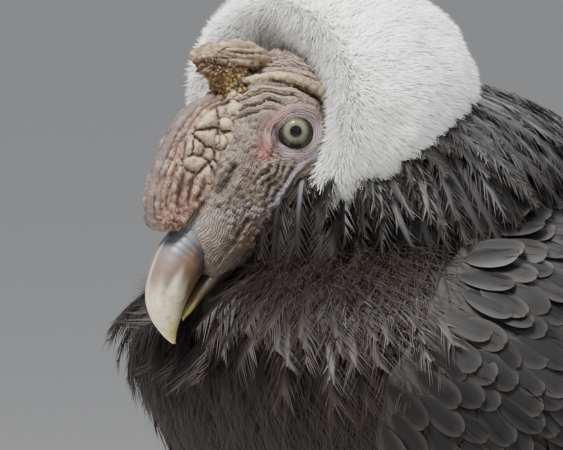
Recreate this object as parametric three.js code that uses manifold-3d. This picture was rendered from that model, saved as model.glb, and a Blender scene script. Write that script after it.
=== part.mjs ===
// An adult male Andean condor as a still, life-size model. It stands at rest with its head drawn
// down into the white ruff, its bill pointing down over the breast and its wings folded.
// Millimetres. X runs to the bird's left, Y towards its tail and Z up from the ground.

import * as THREE from "three";
import { mergeVertices } from "three/addons/utils/BufferGeometryUtils.js";
import Module from "manifold-3d";

const wasm = await Module();
wasm.setup();

// Driving dimensions.
const GAP = 0.35; // between neighbouring pieces that touch
const EYE_LEVEL = 660; // height of the eyes above the ground
const EYE_FORWARD = 200; // how far the eyes are in front of the ankles
const HEAD_PITCH = THREE.MathUtils.degToRad(36); // how far the bill dips
const EYEBALL_RADIUS = 10.5;
const EYE_SPREAD = 25.5; // from the middle of the head to the middle of an eyeball
const EYE_TURN = THREE.MathUtils.degToRad(17); // how far each eye looks forward of sideways
const SPINE_FRONT = { y: -190, z: 610 }; // where the body's long axis starts, under the head
const SPINE_PITCH = THREE.MathUtils.degToRad(35.7); // how far that axis drops towards the tail
const TAIL_LENGTH = 370;
const TAIL_PITCH = THREE.MathUtils.degToRad(40);
const STANCE = 62; // from the middle of the body to the middle of each foot
const ANKLE = { y: -42, z: 24 };
const HOCK = { y: -6, z: 138 };

const smooth = (t) => t * t * (3 - 2 * t);
const clamp01 = (t) => Math.min(1, Math.max(0, t));

// A smooth curve through the stations of a table, read by its first column.
function along(table, column, s) {
  const last = table.length - 1;
  if (s <= table[0][0]) return table[0][column];
  if (s >= table[last][0]) return table[last][column];
  const i = table.findIndex((row) => row[0] > s) - 1;
  const [a, b] = [table[i], table[i + 1]];
  const span = b[0] - a[0];
  const slopeAt = (k) => {
    if (k === 0 || k === last) return 0;
    const before = (table[k][column] - table[k - 1][column]) / (table[k][0] - table[k - 1][0]);
    const after = (table[k + 1][column] - table[k][column]) / (table[k + 1][0] - table[k][0]);
    return before * after > 0 ? (2 * before * after) / (before + after) : 0;
  };
  const first = i === 0 ? (b[column] - a[column]) / span : slopeAt(i);
  const second = i + 1 === last ? (b[column] - a[column]) / span : slopeAt(i + 1);
  const t = (s - a[0]) / span;
  const t2 = t * t;
  const t3 = t2 * t;
  return (
    (2 * t3 - 3 * t2 + 1) * a[column] +
    (t3 - 2 * t2 + t) * span * first +
    (3 * t2 - 2 * t3) * b[column] +
    (t3 - t2) * span * second
  );
}

// Solids.

// A closed solid from points and triangles, turned to face outwards.
function solidOf(points, faces) {
  const made = (triVerts) =>
    new wasm.Manifold(
      new wasm.Mesh({
        numProp: 3,
        vertProperties: new Float32Array(points.flatMap((p) => [p.x, p.y, p.z])),
        triVerts: new Uint32Array(triVerts.flat()),
      }),
    );
  const solid = made(faces);
  return solid.volume() > 0 ? solid : made(faces.map(([a, b, c]) => [a, c, b]));
}

// A closed skin over rings of equal count, each end drawn to a point at its ring's middle or tip.
function loft(rings, startTip = null, endTip = null) {
  const count = rings[0].length;
  const points = rings.flat();
  const middle = (ring) =>
    ring.reduce((sum, p) => sum.add(p), new THREE.Vector3()).divideScalar(count);
  const faces = [];
  for (let i = 0; i + 1 < rings.length; i++) {
    for (let j = 0; j < count; j++) {
      const k = (j + 1) % count;
      const [a, b, c, d] = [i * count + j, i * count + k, (i + 1) * count + k, (i + 1) * count + j];
      faces.push([a, b, c], [a, c, d]);
    }
  }
  const last = (rings.length - 1) * count;
  points.push(startTip ?? middle(rings[0]), endTip ?? middle(rings[rings.length - 1]));
  for (let j = 0; j < count; j++) {
    const k = (j + 1) % count;
    faces.push([k, j, points.length - 2], [last + j, last + k, points.length - 1]);
  }
  return solidOf(points, faces);
}

// A closed skin over rings that go out along one face and back along the other, with flat ends
// that follow the bend of the plate.
function crescent(rings) {
  const count = rings[0].length;
  const faces = [];
  for (let i = 0; i + 1 < rings.length; i++) {
    for (let j = 0; j < count; j++) {
      const k = (j + 1) % count;
      const [a, b, c, d] = [i * count + j, i * count + k, (i + 1) * count + k, (i + 1) * count + j];
      faces.push([a, b, c], [a, c, d]);
    }
  }
  const last = (rings.length - 1) * count;
  for (let j = 0; j + 1 < count / 2; j++) {
    const [a, b, c, d] = [j, j + 1, count - 2 - j, count - 1 - j];
    faces.push([b, a, c], [c, a, d], [last + a, last + b, last + c], [last + a, last + c, last + d]);
  }
  return solidOf(rings.flat(), faces);
}

// A three.js geometry as a solid.
function solidOfGeometry(geometry) {
  const bare = geometry.clone();
  bare.deleteAttribute("normal");
  bare.deleteAttribute("uv");
  const merged = mergeVertices(bare, 1e-3);
  const { array } = merged.attributes.position;
  const points = [];
  for (let i = 0; i < array.length; i += 3) points.push(new THREE.Vector3(...array.slice(i, i + 3)));
  const faces = [];
  const { array: index } = merged.index;
  for (let i = 0; i < index.length; i += 3) faces.push([index[i], index[i + 1], index[i + 2]]);
  return solidOf(points, faces.filter(([a, b, c]) => a !== b && b !== c && a !== c));
}

const joined = (solids) => solids.reduce((sum, solid) => sum.add(solid));
const moved = (solid, matrix) => solid.transform(matrix.elements);

// Its largest closed body, with no loose scraps, slivers or pinholes.
function largest(solid) {
  const biggest = (whole) =>
    whole.decompose().reduce((best, body) => (body.volume() > best.volume() ? body : best));
  return biggest(biggest(solid).setTolerance(0.02));
}

// A round rod of changing radius through points, with blunt ends.
function rope(points, radii, sides = 8) {
  const rings = points.map((p, i) => {
    const ahead = points[Math.min(i + 1, points.length - 1)].clone();
    const way = ahead.sub(points[Math.max(i - 1, 0)]).normalize();
    const aside = new THREE.Vector3(0, 0, 1).cross(way);
    if (aside.length() < 0.2) aside.set(1, 0, 0);
    aside.normalize();
    const above = way.clone().cross(aside);
    return Array.from({ length: sides }, (_, j) => {
      const turn = (2 * Math.PI * j) / sides;
      return p
        .clone()
        .addScaledVector(aside, radii[i] * Math.cos(turn))
        .addScaledVector(above, radii[i] * Math.sin(turn));
    });
  });
  return loft(rings);
}

// Materials.
const paint = (color, roughness, metalness = 0) =>
  new THREE.MeshStandardMaterial({ color, roughness, metalness });
const DARK_SKIN = paint(0x4a403c, 0.75);
const COMB_FLESH = paint(0x8a6657, 0.7);
const CRUST = paint(0x8c744f, 0.9);
const BILL_HORN = paint(0xc9c6a4, 0.35);
const EYE = paint(0x6f7563, 0.1);
const DOWN = paint(0xf2efe8, 0.95);
const BLACK_FEATHER = paint(0x24211f, 0.65);
const SILVER_FEATHER = paint(0xa9aaa8, 0.6);
const LEG_SKIN = paint(0x55524f, 0.7);
const CLAW_HORN = paint(0x1d1b1a, 0.4);

// The head's own frame: its origin is midway between the eyes and its bill points along -Y.
const atHead = (forward, up, aside = 0) => new THREE.Vector3(aside, -forward, up);
const headFrame = new THREE.Matrix4()
  .makeTranslation(0, -EYE_FORWARD, EYE_LEVEL)
  .multiply(new THREE.Matrix4().makeRotationX(HEAD_PITCH));

// The body's own frame: along its axis, up from it, and aside.
const onSpine = (s, up, aside) =>
  new THREE.Vector3(
    aside,
    SPINE_FRONT.y + s * Math.cos(SPINE_PITCH) + up * Math.sin(SPINE_PITCH),
    SPINE_FRONT.z - s * Math.sin(SPINE_PITCH) + up * Math.cos(SPINE_PITCH),
  );

// Head. Each station: forward, top, bottom, half width, squareness.
const SKULL = [
  [-55, 6, -14, 13, 2.0],
  [-50, 13, -21, 22, 2.0],
  [-36, 22, -33, 32, 2.1],
  [-20, 27, -38, 36, 2.2],
  [-5, 28, -39, 35.5, 2.3],
  [6, 26, -40, 33.5, 2.4],
  [16, 22, -40, 29.5, 2.4],
  [26, 16, -40, 24.5, 2.4],
  [38, 9, -40, 19, 2.4],
  [50, 1, -40, 15, 2.3],
  [62, -5.5, -40, 12.4, 2.3],
  [66, -8.5, -38.5, 10.4, 2.2],
];
const HEAD_RINGS = 21;
const HEAD_SIDES = 22;

// A ring of a superellipse, from its top round the left side, in the plane across one station.
function hoop(top, bottom, halfWidth, power, sides, place) {
  const [middle, reach] = [(top + bottom) / 2, (top - bottom) / 2];
  return Array.from({ length: sides }, (_, j) => {
    const turn = (2 * Math.PI * j) / sides;
    const [c, s] = [Math.cos(turn), Math.sin(turn)];
    const swell = (Math.abs(c) ** power + Math.abs(s) ** power) ** (-1 / power);
    return place(middle + reach * c * swell, halfWidth * s * swell);
  });
}

// The flesh of the head, grown outwards by a margin.
function skull(margin = 0, count = HEAD_RINGS, sides = HEAD_SIDES) {
  const [back, front] = [SKULL[0][0], SKULL[SKULL.length - 1][0]];
  const rings = Array.from({ length: count }, (_, i) => {
    const u = THREE.MathUtils.lerp(back, front, i / (count - 1));
    return hoop(
      along(SKULL, 1, u) + margin,
      along(SKULL, 2, u) - margin,
      along(SKULL, 3, u) + margin,
      along(SKULL, 4, u),
      sides,
      (up, aside) => atHead(u, up, aside),
    );
  });
  return loft(rings, atHead(back - 3 - margin, -4), atHead(front + 1.5 + margin, -24));
}

// Eyes. Each eye's frame has its origin in the middle of the ball and looks along its own +Z.
function atEye(geometry, side, standOut = 0) {
  const frame = new THREE.Matrix4()
    .makeTranslation(side * EYE_SPREAD, 0, 0)
    .multiply(new THREE.Matrix4().makeRotationZ(side * (Math.PI / 2 - EYE_TURN)))
    .multiply(new THREE.Matrix4().makeRotationX(Math.PI / 2))
    .multiply(new THREE.Matrix4().makeTranslation(0, 0, standOut));
  return moved(solidOfGeometry(geometry), frame);
}

const eyeball = (side, margin = 0) =>
  atEye(new THREE.SphereGeometry(EYEBALL_RADIUS + margin, 12, 8), side);

// The shallow dish that each eye sits in, and the almond-shaped rim of skin round it.
const eyeDish = (side) => atEye(new THREE.SphereGeometry(18, 14, 10), side, 21.2);

function lids(side) {
  const ring = new THREE.TorusGeometry(8.4, 2.1, 6, 16);
  ring.scale(1.06, 0.94, 1);
  return atEye(ring, side, 7.2);
}

// The rope of loose skin from the crown, over the eye and down behind it, with its hanging end.
function browFold(side, margin = 0) {
  const points = [
    atHead(-4, 27, side * 14),
    atHead(-10, 24, side * 23),
    atHead(-15, 18, side * 31),
    atHead(-18, 10, side * 35.5),
    atHead(-20, 3, side * 37),
    atHead(-20.5, 1, side * 37),
  ];
  const radii = [2.2, 3, 3.4, 3.8, 3, 1.4];
  return rope(points, radii.map((radius) => radius + 2 * margin), 8);
}

// The ear opening behind the eye.
function earCup(side) {
  const cup = new THREE.SphereGeometry(1, 8, 6);
  cup.scale(6, 3.6, 5);
  return moved(
    solidOfGeometry(cup),
    new THREE.Matrix4().makeTranslation(side * 36, 26, -9),
  );
}

// The nostril, which passes right through the base of the bill.
function nostril() {
  const slot = new THREE.CylinderGeometry(2.3, 2.3, 60, 12);
  slot.scale(1, 1, 2.2);
  slot.rotateZ(Math.PI / 2);
  slot.rotateX(THREE.MathUtils.degToRad(-28));
  return moved(
    solidOfGeometry(slot),
    new THREE.Matrix4().makeTranslation(0, -38, -5),
  );
}

// The line of the mouth: forward, up, from its corner to the tip of the lower bill.
const MOUTH = [
  [41, -21.5],
  [50, -25.5],
  [58, -28.5],
  [66, -31],
  [73, -33],
  [80, -36.2],
  [87, -42.4],
  [92, -50],
];

// A thin slit along the mouth line.
function mouthSlit() {
  const half = 0.5;
  const outline = [
    ...MOUTH.map(([u, v]) => new THREE.Vector2(-u, v + half)),
    ...MOUTH.map(([u, v]) => new THREE.Vector2(-u, v - half)).reverse(),
  ];
  const slab = new THREE.ExtrudeGeometry(new THREE.Shape(outline), { depth: 80, bevelEnabled: false });
  slab.translate(0, 0, -40);
  slab.rotateX(Math.PI / 2);
  slab.rotateZ(Math.PI / 2);
  return solidOfGeometry(slab);
}

// The space that the head and bill need inside the ruff and on the body.
const headRoom = () =>
  moved(
    joined([
      skull(2.4, 14, 16),
      browFold(1, 2 * GAP),
      browFold(-1, 2 * GAP),
      atEye(new THREE.SphereGeometry(13, 10, 6), 1, 8),
      atEye(new THREE.SphereGeometry(13, 10, 6), -1, 8),
      horn(grown(UPPER_HORN, 1), HORN_TIP, 8, 8),
      horn(grown(LOWER_HORN, 1), LOWER_TIP, 5, 8),
    ]),
    headFrame,
  );

function makeHead() {
  const dished = skull().subtract(eyeDish(1)).subtract(eyeDish(-1));
  const parts = [dished];
  for (const side of [1, -1]) parts.push(lids(side), browFold(side));
  let head = joined(parts).subtract(nostril()).subtract(mouthSlit());
  for (const side of [1, -1]) head = head.subtract(eyeball(side, GAP)).subtract(earCup(side));
  return largest(head);
}

// Comb. A fleshy lobe stands on the base of the bill, from its outer edge to its root.
const COMB_EDGE = [
  [0, 71, -4],
  [0.05, 73.6, 0],
  [0.16, 70, 8],
  [0.34, 59, 19],
  [0.52, 46, 26.5],
  [0.7, 33, 31.5],
  [0.84, 23, 32.5],
  [1, 14, 30],
];
const COMB_ROOT = [
  [0, 66, -7],
  [0.16, 60, -4],
  [0.34, 50, -1],
  [0.52, 40, 4],
  [0.7, 30, 9],
  [0.84, 22, 14],
  [1, 10, 19],
];
const COMB_THICK = 11.5; // half of the lobe, at its fullest
const COMB_FOLDS = 3.5; // waves across each face
const COMB_STEPS = { along: 14, across: 9 };

// Half the comb's thickness at a share q along its edge and r from edge to root.
function combHalf(q, r, margin) {
  const ends = 0.45 + 0.55 * Math.sqrt(clamp01(1 - (2 * q - 1) ** 8));
  const crown = Math.sqrt(1 - (1 - Math.min(1, r / 0.35)) ** 2);
  const wave = 0.09 * Math.cos(2 * Math.PI * (COMB_FOLDS * r + 0.4 * q)) * smooth(clamp01(4 * r));
  return COMB_THICK * ends * (0.2 + 0.8 * crown) * (1 + wave) + margin;
}

function combLobe(margin = 0) {
  const { along: steps, across } = COMB_STEPS;
  const rings = Array.from({ length: steps }, (_, i) => {
    const q = (1 - Math.cos((Math.PI * i) / (steps - 1))) / 2;
    const edge = new THREE.Vector2(along(COMB_EDGE, 1, q), along(COMB_EDGE, 2, q));
    const root = new THREE.Vector2(along(COMB_ROOT, 1, q), along(COMB_ROOT, 2, q));
    const reach = edge.clone().sub(root).normalize().multiplyScalar(margin);
    const point = (r, side) => {
      const p = edge.clone().add(reach).lerp(root.clone().sub(reach), r);
      return atHead(p.x, p.y, side * combHalf(q, r, margin));
    };
    const left = Array.from({ length: across }, (_, j) => point(j / (across - 1), 1));
    const right = Array.from({ length: across }, (_, j) => point(j / (across - 1), -1));
    return [...left, ...right.reverse()];
  });
  return loft(rings);
}

// The crusted ridge behind the lobe: forward, up, half width, on a short column.
function combColumn(margin = 0) {
  const rings = [
    hoop(22, 8, 11 + margin, 2.4, 12, (a, b) => atHead(a - 10, 14 - margin, b)),
    hoop(21, 5, 9.5 + margin, 2.4, 12, (a, b) => atHead(a - 10, 26, b)),
    hoop(23, 1, 8.5 + margin, 2.4, 12, (a, b) => atHead(a - 10, 36 + margin, b)),
  ];
  return loft(rings);
}

// The dry crust that caps the column and leans down over its left side.
function combCrust() {
  const rim = [
    [17, 41],
    [6, 46],
    [-6, 44],
    [-14, 35],
    [-17, 26],
  ];
  const rings = rim.map(([u, v], i) => {
    const fall = 1 + 0.25 * Math.sin(2.1 * i);
    return [
      atHead(u, v, 0),
      atHead(u - 1, v - 5, 7),
      atHead(u - 2, v - 13 * fall, 13.5),
      atHead(u - 2, v - 16 * fall, 12.5),
      atHead(u - 1, v - 8, 4),
      atHead(u - 1, v - 8, -4),
      atHead(u - 2, v - 11 * fall, -11),
      atHead(u - 2, v - 8 * fall, -12),
      atHead(u - 1, v - 4, -7),
    ];
  });
  return loft(rings);
}

// Small bulbs of flesh at the back of the lobe: forward, up, aside, radius.
const COMB_BULBS = [
  [22, 12, 11, 4.4],
  [17, 6, 14, 3.6],
  [28, 6, 13, 3.8],
  [24, -1, 14, 3.2],
  [14, 14, 13, 3.2],
];

function combBulb([u, v, aside, radius], side) {
  const ball = new THREE.SphereGeometry(radius, 8, 6);
  const centre = atHead(u, v, side * aside);
  return moved(solidOfGeometry(ball), new THREE.Matrix4().makeTranslation(...centre));
}

function makeComb() {
  const bulbs = [1, -1].flatMap((side) => COMB_BULBS.map((bulb) => combBulb(bulb, side)));
  const comb = joined([combLobe(), combColumn(), ...bulbs]);
  return largest(comb.subtract(skull(GAP)));
}

const makeCrust = () =>
  largest(combCrust().subtract(combColumn(GAP)).subtract(combLobe(GAP)).subtract(skull(GAP)));

// Bill. Each station of the hooked upper horn: top forward and up, bottom forward and up, half width.
const UPPER_HORN = [
  [0, 56, -3, 54, -27, 11],
  [0.14, 66, -7.2, 62, -29.6, 11.6],
  [0.3, 74, -9.2, 68, -31.5, 11.4],
  [0.44, 83, -13.6, 73, -33.2, 10.8],
  [0.58, 91, -20.2, 77, -35, 9.4],
  [0.72, 96.4, -28, 81.5, -37.5, 7.2],
  [0.84, 98.2, -36, 86.6, -41.4, 5],
  [0.94, 97.8, -43, 91.6, -45.2, 2.7],
];
const HORN_TIP = [95.6, -49];
const LOWER_HORN = [
  [0, 56, -28, 57, -40, 9.8],
  [0.3, 65, -31, 65, -40, 9],
  [0.55, 73, -33.6, 72, -40.2, 7.6],
  [0.8, 80.5, -37, 80, -42, 5.2],
];
const LOWER_TIP = [86, -43.4];

function horn(stations, tip, rings, sides) {
  const end = stations[stations.length - 1][0];
  const made = Array.from({ length: rings }, (_, i) => {
    const t = (end * i) / (rings - 1);
    const top = new THREE.Vector2(along(stations, 1, t), along(stations, 2, t));
    const bottom = new THREE.Vector2(along(stations, 3, t), along(stations, 4, t));
    return hoop(1, -1, along(stations, 5, t), 2.2, sides, (share, aside) => {
      const p = bottom.clone().lerp(top, (share + 1) / 2);
      return atHead(p.x, p.y, aside);
    });
  });
  return loft(made, null, atHead(...tip));
}

function makeUpperBill() {
  const upper = horn(UPPER_HORN, HORN_TIP, 11, 14);
  return largest(upper.subtract(skull(GAP)).subtract(combLobe(GAP)));
}

function makeLowerBill() {
  const lower = horn(LOWER_HORN, LOWER_TIP, 6, 10);
  const upperRoom = horn(grown(UPPER_HORN, GAP + 0.3), HORN_TIP, 11, 14);
  return largest(lower.subtract(skull(GAP)).subtract(upperRoom));
}

// Horn stations with a margin all round.
const grown = (stations, margin) =>
  stations.map(([t, topU, topV, lowU, lowV, half]) => {
    const out = new THREE.Vector2(topU - lowU, topV - lowV).normalize().multiplyScalar(margin);
    return [t, topU + out.x, topV + out.y, lowU - out.x, lowV - out.y, half + margin];
  });

// Torso. Each station along the spine: top, bottom, half width, squareness.
const TORSO = [
  [-16, -33, -49, 38, 2.0],
  [-13, -23, -59, 64, 2.1],
  [-5, -9, -73, 90, 2.3],
  [8, 12, -86, 108, 2.4],
  [30, 46, -101, 121, 2.4],
  [73, 84, -121, 121, 2.25],
  [110, 94, -133, 122, 2.0],
  [150, 97, -144, 120, 2.0],
  [200, 94, -149, 114, 2.0],
  [260, 82, -140, 102, 2.0],
  [318, 66, -116, 82, 2.0],
  [364, 44, -78, 58, 2.0],
  [400, 18, -44, 32, 2.0],
];
const TORSO_RINGS = 16;
const TORSO_SIDES = 22;

// The raised base of the neck behind the ruff, which carries the long dark hackles.
const COLLAR = { y: -128, z: 632, wide: 95, deep: 64, tall: 52 };
const HACKLE = { width: 15, thickness: 2.2 };
const HACKLE_ROWS = [
  { start: 4, reach: 46, round: 110, count: 13 },
  { start: 27, reach: 42, round: 100, count: 10 },
  { start: 48, reach: 34, round: 84, count: 7 },
];

function torso(margin = 0) {
  const [front, back] = [TORSO[0][0], TORSO[TORSO.length - 1][0]];
  const rings = Array.from({ length: TORSO_RINGS }, (_, i) => {
    const s = THREE.MathUtils.lerp(front, back, i / (TORSO_RINGS - 1));
    return hoop(
      along(TORSO, 1, s) + margin,
      along(TORSO, 2, s) - margin,
      along(TORSO, 3, s) + margin,
      along(TORSO, 4, s),
      TORSO_SIDES,
      (up, aside) => onSpine(s, up, aside),
    );
  });
  const trunk = loft(rings, onSpine(front - 2 - margin, -41, 0), onSpine(back + 8 + margin, -14, 0));
  return trunk.add(domeSolid(COLLAR, 1, margin));
}

// How far back from the collar's front its surface comes clear of the ruff.
function clearOfRuff(round) {
  let back = 84;
  const inRuff = (p) =>
    Math.hypot(p.x / RUFF.wide, (p.y - RUFF.y) / RUFF.deep, (p.z - RUFF.z) / RUFF.tall) < 1.08;
  while (inRuff(onDome(COLLAR, back, round, 0.93)) && back < 170) back += 2;
  return back;
}

function hackles() {
  const middle = new THREE.Vector3(0, COLLAR.y, COLLAR.z);
  return HACKLE_ROWS.flatMap(({ start, reach, round, count }, row) =>
    Array.from({ length: count }, (_, i) => {
      const n = 17 * row + i;
      const turn = THREE.MathUtils.lerp(-round, round, i / (count - 1));
      const from = Math.min(clearOfRuff(turn) + start, 150);
      const spread = turn * 0.06 + 2 * scatter(n);
      const flare = 1.09 + 0.035 * scatter(n + 0.5);
      return lock(
        onDome(COLLAR, from, turn, 0.93),
        onDome(COLLAR, from + reach * 0.45, turn + spread / 2, row ? 1 : 1.07),
        onDome(COLLAR, from + reach, turn + spread, flare),
        middle,
        HACKLE.width,
        HACKLE.thickness,
      );
    }),
  );
}

function makeTorso() {
  const wingRoom = wingFront(1, GAP).add(wingFront(-1, GAP));
  const collar = joined(hackles()).subtract(wingRoom);
  return largest(torso().add(collar).subtract(headRoom()));
}

// Neck, from inside the back of the head down into the body: back, height, half width, half depth.
const NECK = [
  [0, -176, 662, 29, 27],
  [0.35, -170, 640, 33, 30],
  [0.7, -160, 612, 37, 34],
  [1, -150, 585, 38, 36],
];

function neck(margin = 0) {
  const rings = Array.from({ length: 5 }, (_, i) => {
    const t = i / 4;
    const centre = new THREE.Vector3(0, along(NECK, 1, t), along(NECK, 2, t));
    const ripple = 1 + 0.03 * Math.cos(i * Math.PI);
    const [wide, deep] = [along(NECK, 3, t) * ripple + margin, along(NECK, 4, t) * ripple + margin];
    return Array.from({ length: 16 }, (_, j) => {
      const turn = (2 * Math.PI * j) / 16;
      return centre
        .clone()
        .add(new THREE.Vector3(wide * Math.sin(turn), -deep * Math.cos(turn), 0.35 * deep * Math.cos(turn)));
    });
  });
  return loft(rings);
}

// Ruff: a dome of white down round the back of the head, open in front.
const RUFF = { y: -163, z: 670, wide: 80, deep: 60, tall: 62, front: -189, split: 42 };
const RUFF_CORE = 0.66; // share of the dome that the core under the locks reaches
const LOCK = { width: 19, thickness: 3 };
// Rows of locks from the face back: where they start and end, how far round they go, and how many.
const LOCK_ROWS = [
  { from: 92, to: 55, round: 142, count: 21 },
  { from: 124, to: 82, round: 122, count: 17 },
  { from: 152, to: 110, round: 104, count: 11 },
  { from: 176, to: 138, round: 84, count: 7 },
];

// A point by its angle from an ellipsoid's front, its angle round from the top, and a share of its size.
function onDome(dome, back, round, share) {
  const [a, b] = [THREE.MathUtils.degToRad(back), THREE.MathUtils.degToRad(round)];
  return new THREE.Vector3(
    dome.wide * share * Math.sin(a) * Math.sin(b),
    dome.y - dome.deep * share * Math.cos(a),
    dome.z + dome.tall * share * Math.sin(a) * Math.cos(b),
  );
}

function domeSolid(dome, share, margin = 0) {
  const ball = new THREE.SphereGeometry(1, 18, 10);
  ball.scale(dome.wide * share + margin, dome.deep * share + margin, dome.tall * share + margin);
  ball.translate(0, dome.y, dome.z);
  return solidOfGeometry(ball);
}

// Even, repeatable scatter between -1 and 1.
const scatter = (n) => 2 * ((Math.sin(12.9898 * n + 4.1) * 43758.5453) % 1);

// A flat tapered bent lock or hackle through three points, its broad side facing out from a middle.
function lock(root, bend, tip, middle, width, thickness) {
  const path = new THREE.QuadraticBezierCurve3(root, bend, tip);
  const rings = [
    [0, 0.7],
    [0.45, 1],
    [0.8, 0.62],
  ].map(([t, share]) => {
    const p = path.getPoint(t);
    const out = p.clone().sub(middle).normalize();
    const across = out.clone().cross(path.getTangent(t)).normalize();
    const [half, deep] = [(width * share) / 2, (thickness * share) / 2];
    return [
      p.clone().addScaledVector(across, half),
      p.clone().addScaledVector(out, deep),
      p.clone().addScaledVector(across, -half),
      p.clone().addScaledVector(out, -deep),
    ];
  });
  return loft(rings, null, tip);
}

function ruffLocks() {
  const middle = new THREE.Vector3(0, RUFF.y, RUFF.z);
  return LOCK_ROWS.flatMap(({ from, to, round, count }, row) =>
    Array.from({ length: count }, (_, i) => {
      const n = 31 * row + i;
      const turn = THREE.MathUtils.lerp(-round, round, i / (count - 1));
      const lean = 3 * scatter(n);
      const deeper = i % 2 ? 0.075 : 0;
      const reach = 0.965 + 0.015 * scatter(n + 0.5) - deeper;
      return lock(
        onDome(RUFF, from, turn, 0.6 - deeper),
        onDome(RUFF, (from + to) / 2 + 6, turn + lean / 2, reach + 0.08),
        onDome(RUFF, to + 2 * scatter(n + 0.2), turn + lean, reach),
        middle,
        LOCK.width,
        LOCK.thickness,
      );
    }),
  );
}

function slabBetween(low, high) {
  const size = high.clone().sub(low);
  const box = new THREE.BoxGeometry(...size);
  box.translate(...low.clone().add(high).divideScalar(2));
  return solidOfGeometry(box);
}

function makeRuff(torsoRoom) {
  const { front, split } = RUFF;
  const zone = (low, high, near = -400) =>
    slabBetween(new THREE.Vector3(low, near, 500), new THREE.Vector3(high, 0, 800));
  const core = domeSolid(RUFF, RUFF_CORE).intersect(zone(-200, 200, front));
  const inside = joined([headRoom(), neck(GAP), torsoRoom]);
  const ruff = joined([core, ...ruffLocks()]).subtract(inside);
  return {
    ruff_left: largest(ruff.intersect(zone(split + GAP, 200))),
    ruff_back: largest(ruff.intersect(zone(-split, split))),
    ruff_right: largest(ruff.intersect(zone(-200, -split - GAP))),
  };
}

// Feathers. A vane is a thin curved plate with a low ridge along its middle. Its outline lists places
// along it and the share of its width there. Its place tells where a point lies by the place along it,
// a distance across it and a lift off its underside.
const VANE = { edge: 0.7, ridge: 1.3 };

function vane(outline, width, place) {
  const points = [];
  for (const [t, share] of outline) {
    const half = (width * share) / 2;
    for (const lift of [0, 1]) {
      for (const c of [-1, 0, 1]) {
        points.push(place(t, c * half, lift * (c === 0 ? VANE.ridge : VANE.edge)));
      }
    }
  }
  const at = (i, top, c) => 6 * i + 3 * top + c;
  const faces = [];
  const quad = (a, b, c, d) => faces.push([a, b, c], [a, c, d]);
  const last = outline.length - 1;
  for (let i = 0; i < last; i++) {
    for (const c of [0, 1]) {
      quad(at(i, 1, c), at(i, 1, c + 1), at(i + 1, 1, c + 1), at(i + 1, 1, c));
      faces.push(
        [at(i, 0, c), at(i + 1, 0, c + 1), at(i, 0, c + 1)],
        [at(i, 0, c), at(i + 1, 0, c), at(i + 1, 0, c + 1)],
      );
    }
    quad(at(i, 0, 0), at(i, 1, 0), at(i + 1, 1, 0), at(i + 1, 0, 0));
    quad(at(i, 0, 2), at(i + 1, 0, 2), at(i + 1, 1, 2), at(i, 1, 2));
  }
  for (const c of [0, 1]) {
    quad(at(0, 0, c), at(0, 0, c + 1), at(0, 1, c + 1), at(0, 1, c));
    quad(at(last, 0, c), at(last, 1, c), at(last, 1, c + 1), at(last, 0, c + 1));
  }
  return solidOf(points, faces);
}

// Wings. Each station along the spine: middle, half height, half width of the sheet that the wings
// lie on, then the angles from the back's ridge where a folded wing starts and ends.
const WING = [
  [22, -34, 88, 118, 66, 104],
  [42, -28, 101, 123, 36, 120],
  [70, -24, 114, 127, 22, 124],
  [110, -22, 123, 129, 15, 118],
  [150, -22, 125, 128, 12, 112],
  [200, -23, 123, 123, 10, 106],
  [250, -25, 116, 115, 10, 103],
  [300, -27, 106, 106, 11, 102],
  [350, -29, 91, 98, 13, 101],
  [400, -34, 82, 91, 17, 98],
  [500, -52, 82, 82, 33, 90],
  [620, -60, 88, 76, 53, 87],
  [740, -62, 90, 68, 68, 88],
  [782, -63, 92, 67, 72, 88],
];
// The smooth front of the wing, which the feathers grow from: place along the spine and thickness.
const WING_FRONT = [
  [22, 3],
  [42, 9],
  [64, 15],
  [86, 18.4],
  [106, 18.4],
];
const TILT = 0.12; // how much a feather's lower edge stands off over the next feather
const FEATHER_WIDTH = 35;

// Tiers of feathers from the longest out: the places along the spine where their plates bend, with
// the share of their width there, where each feather ends from the back's ridge down, and how far
// they lie off the sheet. A feather is narrow where others hide it.
const PRIMARIES = {
  bends: [[94, 0.24], [300, 0.24], [450, 0.3], [552, 1], [680, 1]],
  tips: [720, 754, 776, 782, 766, 732],
  lift: 0.7,
};
const SECONDARIES = {
  bends: [[94, 0.24], [270, 0.3], [335, 1], [440, 1]],
  tips: [538, 535, 528, 518, 506, 493, 480],
  lift: 5.2,
};
const GREATER = {
  bends: [[94, 0.24], [150, 0.3], [210, 1], [275, 1]],
  tips: [340, 338, 334, 328, 320, 311, 302],
  lift: 9.8,
};
const MEDIAN = {
  bends: [[94, 0.8], [150, 1]],
  tips: [216, 215, 212, 207, 201, 195, 189],
  lift: 13.8,
};
const SCAPULARS = {
  bends: [[94, 0.7], [210, 1], [275, 1]],
  tips: [404, 352, 306],
  lift: 17,
};

// Millimetres round the sheet for each degree, at a distance along the spine.
function perDegree(s, degrees) {
  const turn = THREE.MathUtils.degToRad(degrees);
  const [tall, wide] = [along(WING, 2, s), along(WING, 3, s)];
  return (Math.hypot(tall * Math.sin(turn), wide * Math.cos(turn)) * Math.PI) / 180;
}

// A point of the wing sheet at a distance along the spine, an angle from the ridge and a lift off it.
function onWing(s, degrees, lift, side) {
  const turn = THREE.MathUtils.degToRad(degrees);
  const [tall, wide] = [along(WING, 2, s) + lift, along(WING, 3, s) + lift];
  return onSpine(s, along(WING, 1, s) + tall * Math.cos(turn), side * wide * Math.sin(turn));
}

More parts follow.
